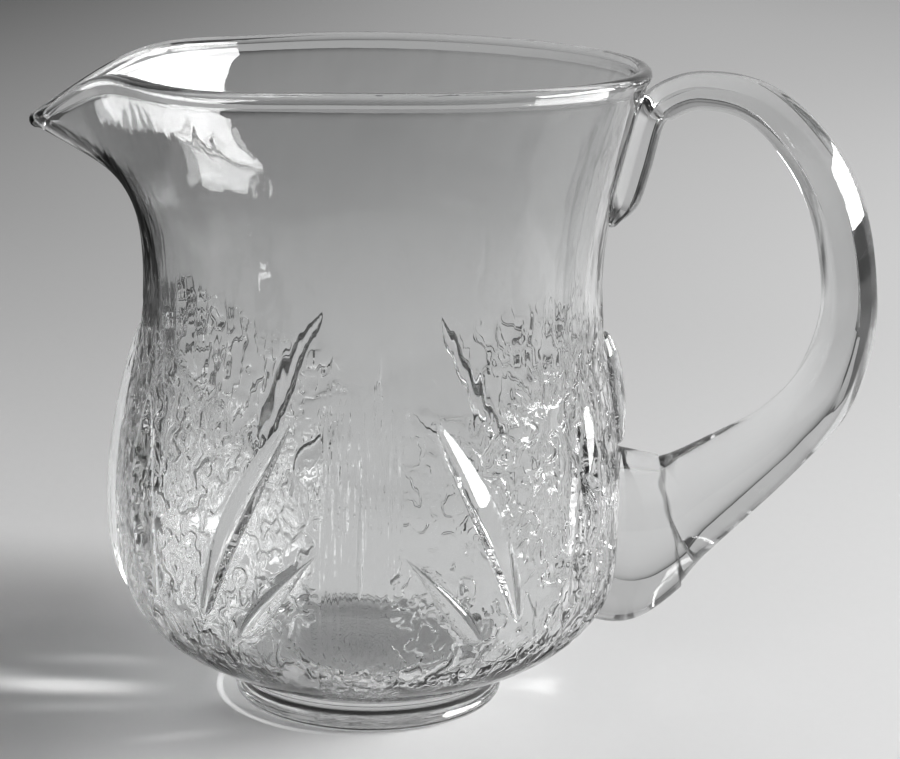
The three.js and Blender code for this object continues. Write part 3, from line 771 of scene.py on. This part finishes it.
# %% Boss
BOSS_REACH, BOSS_SAG, BOSS_FACE_RISE = 14.0 * MM, 5.5 * MM, 3.5 * MM
BOSS_FACE_TALL, BOSS_FACE_WIDE, BOSS_FACE_LEAN = 39.0 * MM, 30.0 * MM, math.radians(12.0)
BOSS_SIDES, BOSS_RINGS = 96, 18
BOSS_SEAT_RINGS, BOSS_FACE_RINGS = (0.25, 0.5, 0.75, 0.95), (0.95, 0.7, 0.4)
boss_face = np.array([wall_at(BOSS_HEIGHT)[0][0] + BOSS_REACH, BOSS_HEIGHT + BOSS_FACE_RISE])
boss_face_up = np.array([-math.sin(BOSS_FACE_LEAN), math.cos(BOSS_FACE_LEAN)])
boss_face_out = np.array([boss_face_up[1], -boss_face_up[0]])


def boss_rings():
    turn = np.arange(BOSS_SIDES) * 2 * math.pi / BOSS_SIDES

    def on_seat(share):
        y = 0.5 * BOSS_WIDE * share * np.cos(turn)
        z = BOSS_HEIGHT + 0.5 * BOSS_TALL * share * np.sin(turn)
        point, normal = wall_at(z)
        return np.stack([np.sqrt(point[:, 0] ** 2 - y ** 2) - SINK / normal[:, 0], y, z], -1)

    def on_face(share):
        up = 0.5 * BOSS_FACE_TALL * share * np.sin(turn)
        y = 0.5 * BOSS_FACE_WIDE * share * np.cos(turn)
        return np.stack([boss_face[0] + up * boss_face_up[0], y, boss_face[1] + up * boss_face_up[1]], -1)

    rings = [on_seat(share) for share in BOSS_SEAT_RINGS]
    for out in np.linspace(0.0, 1.0, BOSS_RINGS):
        ring = mix(on_seat(1.0), on_face(1.0), out)
        ring[:, 2] -= BOSS_SAG * math.sin(math.pi * out) * ((1 - np.sin(turn)) / 2) ** 2
        rings.append(ring)
    rings += [on_face(share) for share in BOSS_FACE_RINGS]
    return np.stack(rings) + np.array([0.0, 0.0, BASE])


boss_join = ((boss_face[0], boss_face[1] + BASE), boss_face_out)
ROD_GLASS = laid_glass("drawn rod glass", ARM_TINT, GRIP_SHADED_TONE, boss_join)
boss = ring_skin("handle_boss_glass", boss_rings())
boss.data.set_sharp_from_angle(angle=SHARP_EDGE)
print("boss of", triangle_count(boss), "triangles")

# %% Handle
HANDLE_REACH, HANDLE_TOP_DROP = 68.3 * MM, 6.6 * MM
FOOT_OVAL, ARM_OVAL, GRIP_OVAL, TOP_OVAL = (37.6, 28.5), (20.0, 22.0), (15.4, 20.0), (10.4, 14.0)
TAIL_OVAL, TAIL_TIP_OVAL = (8.6, 10.0), (3.6, 5.5)
TAIL_TOP_DROP, TAIL_LENGTH, TAIL_SINK = 14.0 * MM, 29.0 * MM, 0.8 * MM
HANDLE_STATIONS, TIP_RINGS = 260, 7
STRAP_FLAT_OUT, STRAP_FLAT_IN = 0.2, 0.65
STRAP_EDGE, STRAP_BEGIN, STRAP_FULL = math.radians(30.0), 0.14, 0.36
ARCH_STEPS, FLAT_STEPS = 14, 5
EDGE_ROUND = 0.03
STRAP_NOSE, STRAP_NARROW = 0.25, 0.87
STRAP_CREASE = math.radians(33.0)

# Each station: out to the grip, up to the top, lean in degrees, two ovals, the first one's share in both ways
LOWER_ARM = (
    (0, 0, math.degrees(BOSS_FACE_LEAN) - 90, FOOT_OVAL, ARM_OVAL, 1, 1),
    (0.133, 0.045, -74, FOOT_OVAL, ARM_OVAL, 0.65, 0.64),
    (0.38, 0.121, -64, FOOT_OVAL, ARM_OVAL, 0.295, 0.24),
    (0.647, 0.206, -53, ARM_OVAL, GRIP_OVAL, 1, 1),
    (0.875, 0.308, -36, ARM_OVAL, GRIP_OVAL, 0.65, 0.5),
    (0.996, 0.447, -14, ARM_OVAL, GRIP_OVAL, 0.2, 0),
    (1, 0.576, -3, ARM_OVAL, GRIP_OVAL, 0, 0),
)
UPPER_ARM = (
    (0.917, 0.745, 21, GRIP_OVAL, TOP_OVAL, 0.92, 0.7),
    (0.744, 0.882, 39, GRIP_OVAL, TOP_OVAL, 0.68, 0),
    (0.504, 0.977, 61, GRIP_OVAL, TOP_OVAL, 0.26, 0),
    (0.239, 1, 92, GRIP_OVAL, TOP_OVAL, 0, 0),
    (0.065, 0.972, 121, GRIP_OVAL, TOP_OVAL, 0, 0),
)

# Each station of the tail: how far down it lies, and how full its oval is
TAIL = ((0, 1), (0.45, 1), (0.8, 0.8), (1, 0))


def run_through(points, count):
    """Smooth run through a list of points, with as many steps between each two."""
    ends = np.vstack([2 * points[0] - points[1], points, 2 * points[-1] - points[-2]])
    place = np.linspace(0.0, len(points) - 1.0, count)
    index = np.minimum(place.astype(int), len(points) - 2)
    t = (place - index)[:, None]
    a, b, c, d = (ends[index + step] for step in range(4))
    steady = 2 * b + (c - a) * t
    return 0.5 * (steady + (2 * a - 5 * b + 4 * c - d) * t ** 2 + (3 * b - a - 3 * c + d) * t ** 3)


def handle_stations():
    """Stations of x, z, lean in degrees, thickness and breadth, from the boss up and round to the tail."""
    start = boss_face - boss_face_out * SINK
    grip, top = WAIST_RADIUS + HANDLE_REACH, RIM_HEIGHT - HANDLE_TOP_DROP
    tail_top = RIM_HEIGHT - TAIL_TOP_DROP
    made = []

    def arm(root, out, up, lean, oval, other, thick, wide):
        place = (mix(root, grip, out), mix(start[1], top, up))
        made.append((*place, lean, mix(other[0], oval[0], thick) * MM, mix(other[1], oval[1], wide) * MM))

    def on_wall(height, thick):
        point, normal = wall_at(height)
        return point + normal * (thick / 2 - TAIL_SINK), normal

    for station in LOWER_ARM:
        arm(start[0], *station)
    tail_root = on_wall(tail_top, TAIL_OVAL[0] * MM)[0][0]
    for station in UPPER_ARM:
        arm(tail_root, *station)
    for down, full in TAIL:
        thick, wide = (mix(tip, whole, full) * MM for tip, whole in zip(TAIL_TIP_OVAL, TAIL_OVAL))
        centre, normal = on_wall(tail_top - down * TAIL_LENGTH, thick)
        made.append((*centre, math.degrees(math.atan2(-normal[1], -normal[0])), thick, wide))
    return np.array(made)


def strap_section():
    """Section of the handle as shares of half its thickness and breadth, from its outer side round."""
    slope = np.linspace(0.5 * math.pi, STRAP_EDGE, ARCH_STEPS)[1:]
    reach = (np.sin(slope) - math.sin(STRAP_EDGE)) / (1 - math.sin(STRAP_EDGE))
    breadth = np.cos(slope) / math.cos(STRAP_EDGE)
    outer = quadratic([(1.0, 0.0), (1.0, STRAP_NOSE), (STRAP_FLAT_OUT, STRAP_NARROW)], ARCH_STEPS)[1:]
    inner = np.stack([-mix(STRAP_FLAT_IN, 1.0, reach), breadth], -1)[::-1]
    run = np.linspace(STRAP_FLAT_OUT - EDGE_ROUND, EDGE_ROUND - STRAP_FLAT_IN, FLAT_STEPS)
    inward = (STRAP_FLAT_OUT - run) / (STRAP_FLAT_OUT + STRAP_FLAT_IN)
    flat = np.stack([run, mix(STRAP_NARROW, 1.0, inward)], -1)
    back = np.vstack([outer, flat, inner])
    return np.vstack([[(1.0, 0.0)], back, [(-1.0, 0.0)], back[::-1] * (1.0, -1.0)])


def handle_rings():
    run = run_through(handle_stations(), HANDLE_STATIONS)
    tip = run[-1]
    heading = (run[-1] - run[-2])[:2]
    heading /= np.linalg.norm(heading)
    rounded = []
    for step in range(1, TIP_RINGS):
        turn = 0.5 * math.pi * step / TIP_RINGS
        place = tip[:2] + heading * 0.5 * tip[3] * math.sin(turn)
        rounded.append((*place, tip[2], tip[3] * math.cos(turn), tip[4] * math.cos(turn)))
    along = np.append(np.linspace(0.0, 1.0, HANDLE_STATIONS), np.ones(TIP_RINGS - 1))
    x, z, lean, thick, wide = np.vstack([run, rounded]).T[..., None]
    lean = np.radians(lean)
    strap = strap_section()
    oval = strap / np.linalg.norm(strap, axis=1)[:, None]
    shape = mix(oval, strap, smooth(along, STRAP_BEGIN, STRAP_FULL)[:, None, None])
    out = 0.5 * thick * shape[..., 0]
    return np.stack([x + out * np.cos(lean), 0.5 * wide * shape[..., 1], z + out * np.sin(lean) + BASE], -1)


handle = ring_skin("handle_glass", handle_rings())
handle.data.set_sharp_from_angle(angle=STRAP_CREASE)
print("handle of", triangle_count(handle), "triangles")

# %% [markdown]
# The hammered wall
# The mould leaves the lower half covered with shallow dents, between a smooth strip at the front and one at
# the back. The dents die out where a bit is laid on and along an uneven edge below the waist. Bump alone
# would leave a smooth outline, so a Geometry Nodes tree moves the wall itself: noise gives the dents, the
# distance to the laid bits clears their edges, and a slow wave gives the free-blown unevenness. On the
# handle's side the upper part of the field stays smooth from the strip out to the slanting blade.


# %% Tree that hammers the wall
DRIFT_SIZE, FIELD_RISE = 28 * MM, 0.7
TOP_FADE_BELOW, TOP_FADE_ABOVE, BOTTOM_FADE = -9 * MM, 3 * MM, 8 * MM
STRIP_SHIFT, STRIP_FADE_IN, STRIP_FADE_OUT = 1.7 * MM, 0.5 * MM, 0.7 * MM
BARE_REACH, BARE_SLOPE, BARE_FADE, BARE_HEIGHTS = 63 * MM, 0.45, 1 * MM, (60 * MM, 65 * MM)
CLEAR_START = 0.2


def hammer_tree():
    tree, inlet, identifiers = start_tree("hammered wall", {
        "Laid Glass": "Object", "Dent Depth": "Float", "Field Bottom": "Float",
        "Field Top": "Float", "Field Drift": "Float", "Strip Half Width": "Float", "Clear Distance": "Float",
        "Wave Depth": "Float", "Wave Size": "Float", "Seed": "Float", "Material": "Material",
    })
    place = Wire.node(tree, "GeometryNodeInputPosition")
    outward = Wire.node(tree, "GeometryNodeInputNormal")
    outer = Wire.node(tree, "GeometryNodeInputNamedAttribute", {"data_type": "FLOAT"}, {"Name": "outside"})
    x, _, z = place.split()

    def ripple(size, detail, shift):
        return 2 * Wire.node(tree, "ShaderNodeTexNoise", {"noise_dimensions": "4D"}, {
            "Vector": place, "W": inlet["Seed"] + shift, "Scale": 1 / size, "Detail": detail,
        }) - 1

    drift = ripple(DRIFT_SIZE, detail=1.0, shift=11.0) * inlet["Field Drift"]
    top = inlet["Field Top"] + FIELD_RISE * abs(x) + drift
    below_top = 1 - (z - top).smooth(TOP_FADE_BELOW, TOP_FADE_ABOVE)
    above_bottom = z.smooth(inlet["Field Bottom"], inlet["Field Bottom"] + BOTTOM_FADE)
    half_strip = inlet["Strip Half Width"]
    beside_strip = abs(x + STRIP_SHIFT).smooth(half_strip - STRIP_FADE_IN, half_strip + STRIP_FADE_OUT)
    past_blade = (x - (BARE_REACH - BARE_SLOPE * z)).smooth(-BARE_FADE, BARE_FADE)
    low = 1 - z.smooth(*BARE_HEIGHTS)
    on_spout_side = (-x).smooth(0.0, BARE_FADE)
    beside_strip = beside_strip * past_blade.most(low, on_spout_side)
    near = Wire.node(tree, "GeometryNodeProximity", {"target_element": "FACES"}, {
        "Geometry": shape_of(tree, inlet["Laid Glass"]), "Sample Position": place,
    }, outlet="Distance")
    clear = near.smooth(CLEAR_START * inlet["Clear Distance"], inlet["Clear Distance"])
    field = below_top * above_bottom * beside_strip * clear * outer
    grain = Wire.node(tree, "ShaderNodeTexNoise", {"noise_dimensions": "4D"}, {
        "Vector": place.vector("MULTIPLY", place, DENT_STRETCH),
        "W": DENT_SEED, "Scale": 1 / DENT_SIZE, "Detail": 1.0,
    })
    dents = grain.smooth(0.5 - SOFT_EDGE, 0.5 + SOFT_EDGE) - 1
    waves = ripple(inlet["Wave Size"], detail=2.0, shift=5.0) * clear
    depth = field * dents * inlet["Dent Depth"] + waves * inlet["Wave Depth"]
    moved = Wire.node(tree, "GeometryNodeSetPosition", sockets={
        "Geometry": inlet["Geometry"], "Offset": outward.scaled(depth),
    })
    marked = Wire.node(tree, "GeometryNodeStoreNamedAttribute", {"data_type": "FLOAT", "domain": "POINT"}, {
        "Geometry": moved, "Name": "hammered", "Value": field,
    })
    end_tree(tree, marked, inlet["Material"])
    return tree, identifiers


def joined_copy(name, things):
    """One mesh object that holds copies of several pieces."""
    shell = bmesh.new()
    for thing in things:
        shell.from_mesh(thing.data)
    mesh = bpy.data.meshes.new(name)
    shell.to_mesh(mesh)
    shell.free()
    made = bpy.data.objects.new(name, mesh)
    bpy.context.scene.collection.objects.link(made)
    return made


# %% Hammer the wall
laid_bits = joined_copy("laid bits", [*blades.values(), boss, handle, foot])
HAMMER_WALL, HAMMER_WALL_INLETS = hammer_tree()
run_tree(bowl, HAMMER_WALL, HAMMER_WALL_INLETS, {
    "Laid Glass": laid_bits, "Dent Depth": DENT_DEPTH * MM, "Field Bottom": 19 * MM,
    "Field Top": 72 * MM, "Field Drift": 8 * MM, "Strip Half Width": 9.8 * MM, "Clear Distance": 1.2 * MM,
    "Wave Depth": 0.12 * MM, "Wave Size": 22 * MM, "Seed": 4.0, "Material": WALL_GLASS,
})
bpy.data.objects.remove(laid_bits, do_unlink=True)
bowl.data.shade_smooth()
print("hammered bowl of", triangle_count(bowl), "triangles")

# %% [markdown]
# Fused seams
# On the real pitcher two bits that touch are one glass. Here each stays a closed piece of its own, sunk a
# little into its neighbour. A face that lies wholly inside a neighbour would still bend light, as if there
# were air between, so those faces get the seam finish and the light goes straight on. Last, points that
# bulge a few hundredths of a millimetre past the solids' box are brought back to it.

# %% Give buried faces the seam finish
SEAM_MARGIN, PROBE_STEP = 0.05 * MM, 0.002 * MM
PROBE_WAYS = (0.31, 0.17, 0.93), (-0.57, 0.71, -0.41), (0.64, -0.72, -0.27)
PROBES = [Vector(way).normalized() for way in PROBE_WAYS]


def skin_of(made):
    mesh = made.data
    points = np.empty(len(mesh.vertices) * 3)
    mesh.vertices.foreach_get("co", points)
    points = points.reshape(-1, 3)
    tree = BVHTree.FromPolygons(points.tolist(), [tuple(face.vertices) for face in mesh.polygons])
    return points, tree


def crossings(tree, start, way):
    """How often a straight line from a point outwards crosses a skin."""
    count = 0
    spot, _, _, _ = tree.ray_cast(start, way)
    while spot is not None:
        count += 1
        spot, _, _, _ = tree.ray_cast(spot + way * PROBE_STEP, way)
    return count


def buried_in(points, neighbour_points, neighbour_tree):
    """Which points lie inside a neighbour's skin, deeper than the margin."""
    low, high = neighbour_points.min(0), neighbour_points.max(0)
    inside = np.all((points > low) & (points < high), axis=1)
    for index in np.flatnonzero(inside):
        point = Vector(points[index])
        votes = sum(crossings(neighbour_tree, point, way) % 2 for way in PROBES)
        inside[index] = votes > 1 and neighbour_tree.find_nearest(point)[3] > SEAM_MARGIN
    return inside


def fuse(pieces, glass):
    skins = {made.name: skin_of(made) for made in pieces}
    total = 0
    for made in pieces:
        points, _ = skins[made.name]
        inside = np.zeros(len(points), bool)
        for other in pieces:
            if other is not made:
                inside |= buried_in(points, *skins[other.name])
        mesh = made.data
        mesh.materials.clear()
        mesh.materials.append(glass[made.name])
        mesh.materials.append(FUSED_SEAM)
        hidden = [int(inside[list(face.vertices)].all()) for face in mesh.polygons]
        mesh.polygons.foreach_set("material_index", hidden)
        total += sum(hidden)
    return total


pieces = {"bowl": bowl, "foot": foot, "handle_boss": boss, "handle": handle, **blades}
glass = {made.name: LAID_GLASS for made in pieces.values()}
glass[bowl.name] = WALL_GLASS
glass |= {boss.name: ROD_GLASS, handle.name: ROD_GLASS, foot.name: FOOT_GLASS}
print(fuse(list(pieces.values()), glass), "faces are fused seams")
for made in pieces.values():
    points = np.clip(skin_of(made)[0], *cad_box)
    made.data.vertices.foreach_set("co", points.ravel())
    made.data.update()

# %% [markdown]
# Pieces of the part
# Each bit rides on the part's one body and stands for its own node.

# %% Tie each bit to its node
for node, made in pieces.items():
    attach(made, "root")
    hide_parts(node)
total = sum(triangle_count(made) for made in pieces.values())
print(len(pieces), "pieces of glass,", total, "triangles in all")

# %% [markdown]
# The table, the window and the room
# Glass has no look of its own, so its surroundings make it. A pale table runs far back, and painted shade
# makes it darker away from the light and at the left, with a painted shadow in a near corner at the left. A
# broad window at the right is the one strong light, which gives the crisp white marks. The room is dim,
# darkest at the left and lighter far ahead.
# The light that glass gathers on a table is slow to find by chance, so its web, glint, streaks and ring are
# painted on as a soft glow, and a painted glow lightens the far table. The real glass shows black lines that
# look like dark things about the table that are out of sight. Parts of the table stand for them as painted
# dark reflections, dark only to rays that came by way of the glass: to long shallow rays, to rays that a wall
# turned back once, and to rays that made many turns. A ray that made still more turns is spent and ends dark,
# in painted shade. Under the window the table has painted shade too, so that it doesn't burn out.

# %% Soft patches, and what a ray has been through
LEFT, RIGHT, BACK, FRONT = (-1.0, 0.0), (1.0, 0.0), (0.0, 1.0), (0.0, -1.0)
HALF_TURN, ONE_WALL, MANY = 0.5, 3, 99
# Rays that made many turns are spent: the table is painted dark to them, and the room is dark to them.
SPENT_TURNS, SPENT_DARK = (6.0, 8.5), 0.97


def soft_patch(x, y, edges):
    """Product of soft edges, each a direction in x and y and the two distances along it where it blends."""
    patch = 1.0
    for (share_x, share_y), start, end in edges:
        patch = patch * (share_x * x + share_y * y).smooth(start, end)
    return patch


def ray_story(tree):
    """Turns and length of a ray, whether the camera sent it, and whether it looks rather than lights."""
    path = tree.nodes.new("ShaderNodeLightPath")
    names = ("Ray Depth", "Ray Length", "Is Camera Ray", "Diffuse Depth")
    turns, length, camera, scattered = (Wire(tree, path.outputs[name]) for name in names)
    return turns, length, camera, scattered.below(HALF_TURN)


print("a ray is spent after", SPENT_TURNS, "turns")

# %% Table
TABLE_HALF, TABLE_DROP = 9.0, 0.15 * MM
TABLE_PALE, TABLE_DARK = (0.92, 0.92, 0.92), (0.03, 0.03, 0.03)
TABLE_ROUGHNESS, TABLE_GLOSS = 0.75, 0.2
# Painted shade: the table darkens towards the back and at the left, and lightens a little far at the right.
NEAR_SHADE, MIDDLE_SHADE, FAR_SHADE, FAR_LIFT = 0.19, 0.36, 0.45, 0.04
NEAR_BLEND, MIDDLE_BLEND, FAR_BLEND, LEFT_BLEND = (-0.1, 0.5), (0.15, 0.8), (0.1, 2.6), (-0.2, 0.9)
# A painted shadow in a near corner at the left, which only the camera's own rays see.
CORNER_SHADE = 0.36
CORNER_PATCH = (LEFT, 0.05, 0.1), (FRONT, -0.14, -0.06), (BACK, -0.5, -0.2), (RIGHT, -0.8, -0.4)
GRAIN_SHADE, GRAIN_SIZE = 0.02, 4 * MM
SHALLOW_LENGTHS = (0.3, 0.36)
# Painted shade under the window, so that the table there doesn't burn out.
UNDER_WINDOW_DARK, UNDER_WINDOW_PATCH = 0.9, ((RIGHT, 0.35, 0.9), (FRONT, -1.6, -1.0))

# Each painted dark reflection: how dark, the fewest and the most turns of its rays, and its soft edges
DARK_FAR = (
    (1.0, 0, 4, (((-1.0, -0.22), 0.115, 0.145), (BACK, 0.28, 0.34))),
    (1.0, 0, 3, ((LEFT, 0.11, 0.13), (BACK, -0.1, 0.0), (FRONT, -0.34, -0.28))),
    (1.0, 0, 2, (((-1.0, -0.37), -0.118, -0.103), (BACK, 0.24, 0.28), (FRONT, -1.1, -1.0))),
)
DARK_NEAR = (
    (0.75, 3, 3, ((FRONT, 0.06, 0.1),)),
    (1.0, 3, 3, ((LEFT, 0.14, 0.17), (BACK, -0.05, 0.0), (FRONT, -0.7, -0.6))),
    (1.0, 5, MANY, ((LEFT, 0.1, 0.115), (BACK, 0.0, 0.03), (FRONT, -0.17, -0.14))),
)

# A painted glow that lightens the far table, more at the right.
PAINTED_FAR_GLOW, PAINTED_FAR_GLOW_RIGHT, PAINTED_FAR_GLOW_BLEND, PAINTED_FAR_GLOW_SIDE_BLEND = 0.02, 0.11, (0.3, 2.2), (-0.4, 0.4)
# Painted light for what the glass gathers on the table: a web, a glint and a ring.
WEB_LIGHT, WEB_SIZE, WEB_LINE, WEB_SEED = 1.5, 14 * MM, 0.065, 3.0
WEB_PATCH = (LEFT, 0.02, 0.04), (RIGHT, -0.16, -0.13), (BACK, -0.02, 0.02), (FRONT, -0.26, -0.2)
GLINT_LIGHT, GLINT_PATCH = 0.6, ((LEFT, 0.18, 0.22), (BACK, -0.1, 0.0), (FRONT, -0.34, -0.28))
RING_LIGHT, RING_X, RING_RADIUS, RING_HALF_WIDE = 0.35, -4 * MM, 38.8 * MM, 1.3 * MM
RING_PATCH = (LEFT, 0.0, 0.03), (FRONT, -0.02, 0.0)

# Each painted streak of light: its light, its middle in x and y, half its length and width, and its slope
STREAKS = (
    (0.5, -0.086, -0.008, 0.034, 0.009, -0.03),
    (0.25, -0.13, -0.003, 0.05, 0.013, -0.05),
    (0.1, -0.08, 0.013, 0.03, 0.007, 0.0),
    (0.08, -0.079, -0.023, 0.03, 0.006, 0.1),
    (0.1, -0.05, -0.042, 0.02, 0.005, 0.3),
)


def table_shade(place, x, y, camera):
    """Painted shade of the table by its place, with a painted shadow at the near left for camera rays."""
    left = (-x).smooth(*LEFT_BLEND)
    shade = NEAR_SHADE * y.smooth(*NEAR_BLEND) + y.smooth(*FAR_BLEND) * (FAR_SHADE * left - FAR_LIFT)
    shade = shade + y.smooth(*MIDDLE_BLEND) * MIDDLE_SHADE * left
    shade = shade + CORNER_SHADE * camera * soft_patch(x, y, CORNER_PATCH)
    return shade + GRAIN_SHADE * noise(place, GRAIN_SIZE, 3.0)


def table_dark(x, y, turns, length, through, seen):
    """Painted dark reflections and painted shade of the table, by the way that a ray came."""
    def darkest(parts):
        shares = []
        for dark, fewest, most, edges in parts:
            turned = turns.above(fewest - HALF_TURN) * turns.below(most + HALF_TURN)
            shares.append(dark * soft_patch(x, y, edges) * turned)
        return shares[0].most(*shares[1:])

    far = length.smooth(*SHALLOW_LENGTHS) * darkest(DARK_FAR)
    spent = SPENT_DARK * turns.smooth(*SPENT_TURNS)
    under_window = UNDER_WINDOW_DARK * soft_patch(x, y, UNDER_WINDOW_PATCH)
    return (far.most(darkest(DARK_NEAR)) * through).most(spent.most(under_window) * seen)


def table_light(place, x, y, turns, through):
    """Painted light of the table: a far glow, and a web, glint, streaks and ring for what the glass gathers.
    """
    light = y.smooth(*PAINTED_FAR_GLOW_BLEND) * (PAINTED_FAR_GLOW + PAINTED_FAR_GLOW_RIGHT * x.smooth(*PAINTED_FAR_GLOW_SIDE_BLEND))
    web = 1 - abs(noise(place, WEB_SIZE, 1.0, seed=WEB_SEED) - 0.5).smooth(0.0, WEB_LINE)
    gathered = WEB_LIGHT * web * soft_patch(x, y, WEB_PATCH) + GLINT_LIGHT * soft_patch(x, y, GLINT_PATCH)
    light = light + gathered * through * turns.above(ONE_WALL + HALF_TURN)
    for bright, middle_x, middle_y, half_long, half_wide, slope in STREAKS:
        along = abs(x - middle_x).smooth(0.0, half_long)
        away = abs(y - middle_y - slope * (x - middle_x)).smooth(0.0, half_wide)
        light = light + bright * (1 - along) * (1 - away)
    from_ring = ((x - RING_X) * (x - RING_X) + y * y) ** 0.5 - RING_RADIUS
    ring = (1 - abs(from_ring).smooth(0.0, RING_HALF_WIDE)) * soft_patch(x, y, RING_PATCH)
    return light + RING_LIGHT * ring


def table_finish():
    material = bpy.data.materials.new("pale table")
    material.use_nodes = True
    tree = material.node_tree
    shader = tree.nodes["Principled BSDF"]
    place = object_place(tree)
    x, y, _ = place.split()
    turns, length, camera, seen = ray_story(tree)
    through = (1 - camera) * seen
    shade = table_shade(place, x, y, camera).most(table_dark(x, y, turns, length, through, seen))
    light = table_light(place, x, y, turns, through) * seen * (1 - turns.smooth(*SPENT_TURNS))
    tone = colour_between(tree, shade, TABLE_PALE, TABLE_DARK)
    glow = colour_between(tree, light, BLACK, WHITE)
    tree.links.new(tone.socket, shader.inputs["Base Color"])
    tree.links.new(glow.socket, shader.inputs["Emission Color"])
    shader.inputs["Emission Strength"].default_value = 1.0
    shader.inputs["Roughness"].default_value = TABLE_ROUGHNESS
    shader.inputs["Specular IOR Level"].default_value = TABLE_GLOSS
    return material


table_mesh = bpy.data.meshes.new("table")
corners = [(x * TABLE_HALF, y * TABLE_HALF, -TABLE_DROP) for x, y in ((-1, -1), (1, -1), (1, 1), (-1, 1))]
table_mesh.from_pydata(corners, [], [(0, 1, 2, 3)])
table_mesh.materials.append(table_finish())
table = bpy.data.objects.new("table", table_mesh)
bpy.context.scene.collection.objects.link(table)
dark_parts = len(DARK_FAR) + len(DARK_NEAR)
print("table with", len(STREAKS), "streaks of light and", dark_parts, "parts that are dark through the glass")

# %% Window
WINDOW_WIDE, WINDOW_TALL = 1.3, 0.6
WINDOW_DISTANCE = 1.7
WINDOW_ROUND, WINDOW_UP = math.radians(88.0), math.radians(16.0)
WINDOW_TARGET = Vector((0.0, 0.0, 0.1))
WINDOW_RADIANCE = 18.0


def hang_window():
    lamp = bpy.data.lights.new("window", "AREA")
    lamp.shape = "RECTANGLE"
    lamp.size = WINDOW_WIDE
    lamp.size_y = WINDOW_TALL
    lamp.energy = WINDOW_RADIANCE * math.pi * WINDOW_WIDE * WINDOW_TALL
    made = bpy.data.objects.new("window", lamp)
    bpy.context.scene.collection.objects.link(made)
    level = math.cos(WINDOW_UP)
    aim = Vector((level * math.sin(WINDOW_ROUND), level * math.cos(WINDOW_ROUND), math.sin(WINDOW_UP)))
    made.rotation_euler = aim.to_track_quat("Z", "Y").to_euler()
    made.location = WINDOW_TARGET + aim * WINDOW_DISTANCE
    made.visible_camera = False


hang_window()
print(f"window of {WINDOW_WIDE} by {WINDOW_TALL} m, {WINDOW_DISTANCE} m away")

# %% Room
ROOM_FILL = 0.26
HORIZON_GREY, CEILING_GREY = 0.34, 0.42
LOW_HEIGHTS, FRONT_BLEND, AHEAD_BLEND = (0.25, 0.6), (0.1, 0.8), (0.7, 0.9)
FRONT_DIM, AHEAD_LIGHT, LEFT_DIM, LEFT_LIGHT = 0.6, 0.15, 0.93, 0.2
LEFT_PATCH = (LEFT, 0.05, 0.55), (FRONT, -0.65, -0.45)


def dim_room():
    world = bpy.data.worlds.new("dim room")
    world.use_nodes = True
    tree = world.node_tree
    x, y, z = Wire.node(tree, "ShaderNodeTexCoord", outlet="Generated").split()
    turns, _, _, seen = ray_story(tree)
    low = 1 - z.smooth(*LOW_HEIGHTS)
    leftward = soft_patch(x, y, LEFT_PATCH) * low
    frontward = (-y).smooth(*FRONT_BLEND) * low
    one_wall = turns.below(ONE_WALL + HALF_TURN)
    grey = (CEILING_GREY + (HORIZON_GREY - CEILING_GREY) * low) * (1 - FRONT_DIM * frontward)
    grey = grey + AHEAD_LIGHT * y.smooth(*AHEAD_BLEND) * low
    grey = grey * (1 - LEFT_DIM * leftward * one_wall) + LEFT_LIGHT * leftward * (1 - one_wall)
    grey = grey * (1 - SPENT_DARK * turns.smooth(*SPENT_TURNS))
    tone = seen * grey + (1 - seen) * ROOM_FILL
    tree.links.new(tone.socket, tree.nodes["Background"].inputs["Color"])
    bpy.context.scene.world = world


dim_room()
print("room of grey", HORIZON_GREY, "to", CEILING_GREY, "which lights the rest with", ROOM_FILL)

# %% [markdown]
# The camera
# The camera stands a little above the rim and looks down at the table, as the photograph's does, with the
# slight roll that the photograph has.

# %% Camera
IMAGE_WIDE = 900
FOCAL_PIXELS = 2285.2
SENSOR = 36.0
CAMERA_PLACE = Vector((0.02173, -0.620, 0.2496))
CAMERA_TILT, CAMERA_ROLL = math.radians(14.36), math.radians(1.3)
MOST_TURNS, MOST_MIRRORINGS = 32, 16


def set_camera():
    data = bpy.data.cameras.new("camera")
    data.sensor_width = SENSOR
    data.sensor_fit = "HORIZONTAL"
    data.lens = SENSOR * FOCAL_PIXELS / IMAGE_WIDE
    made = bpy.data.objects.new("camera", data)
    bpy.context.scene.collection.objects.link(made)
    forward = Vector((0.0, math.cos(CAMERA_TILT), -math.sin(CAMERA_TILT)))
    level_up = Vector((0.0, math.sin(CAMERA_TILT), math.cos(CAMERA_TILT)))
    right = math.cos(CAMERA_ROLL) * Vector((1.0, 0.0, 0.0)) + math.sin(CAMERA_ROLL) * level_up
    up = math.cos(CAMERA_ROLL) * level_up - math.sin(CAMERA_ROLL) * Vector((1.0, 0.0, 0.0))
    turn = Matrix((right, up, -forward)).transposed()
    made.matrix_world = Matrix.Translation(CAMERA_PLACE) @ turn.to_4x4()
    bpy.context.scene.camera = made


set_camera()
scene = bpy.context.scene
scene.view_settings.view_transform = "Standard"
scene.cycles.blur_glossy = 0.0
scene.cycles.max_bounces = MOST_TURNS
scene.cycles.transmission_bounces = MOST_TURNS
scene.cycles.glossy_bounces = MOST_MIRRORINGS
scene.cycles.transparent_max_bounces = MOST_TURNS
print("camera looks down", round(math.degrees(CAMERA_TILT), 2), "degrees")
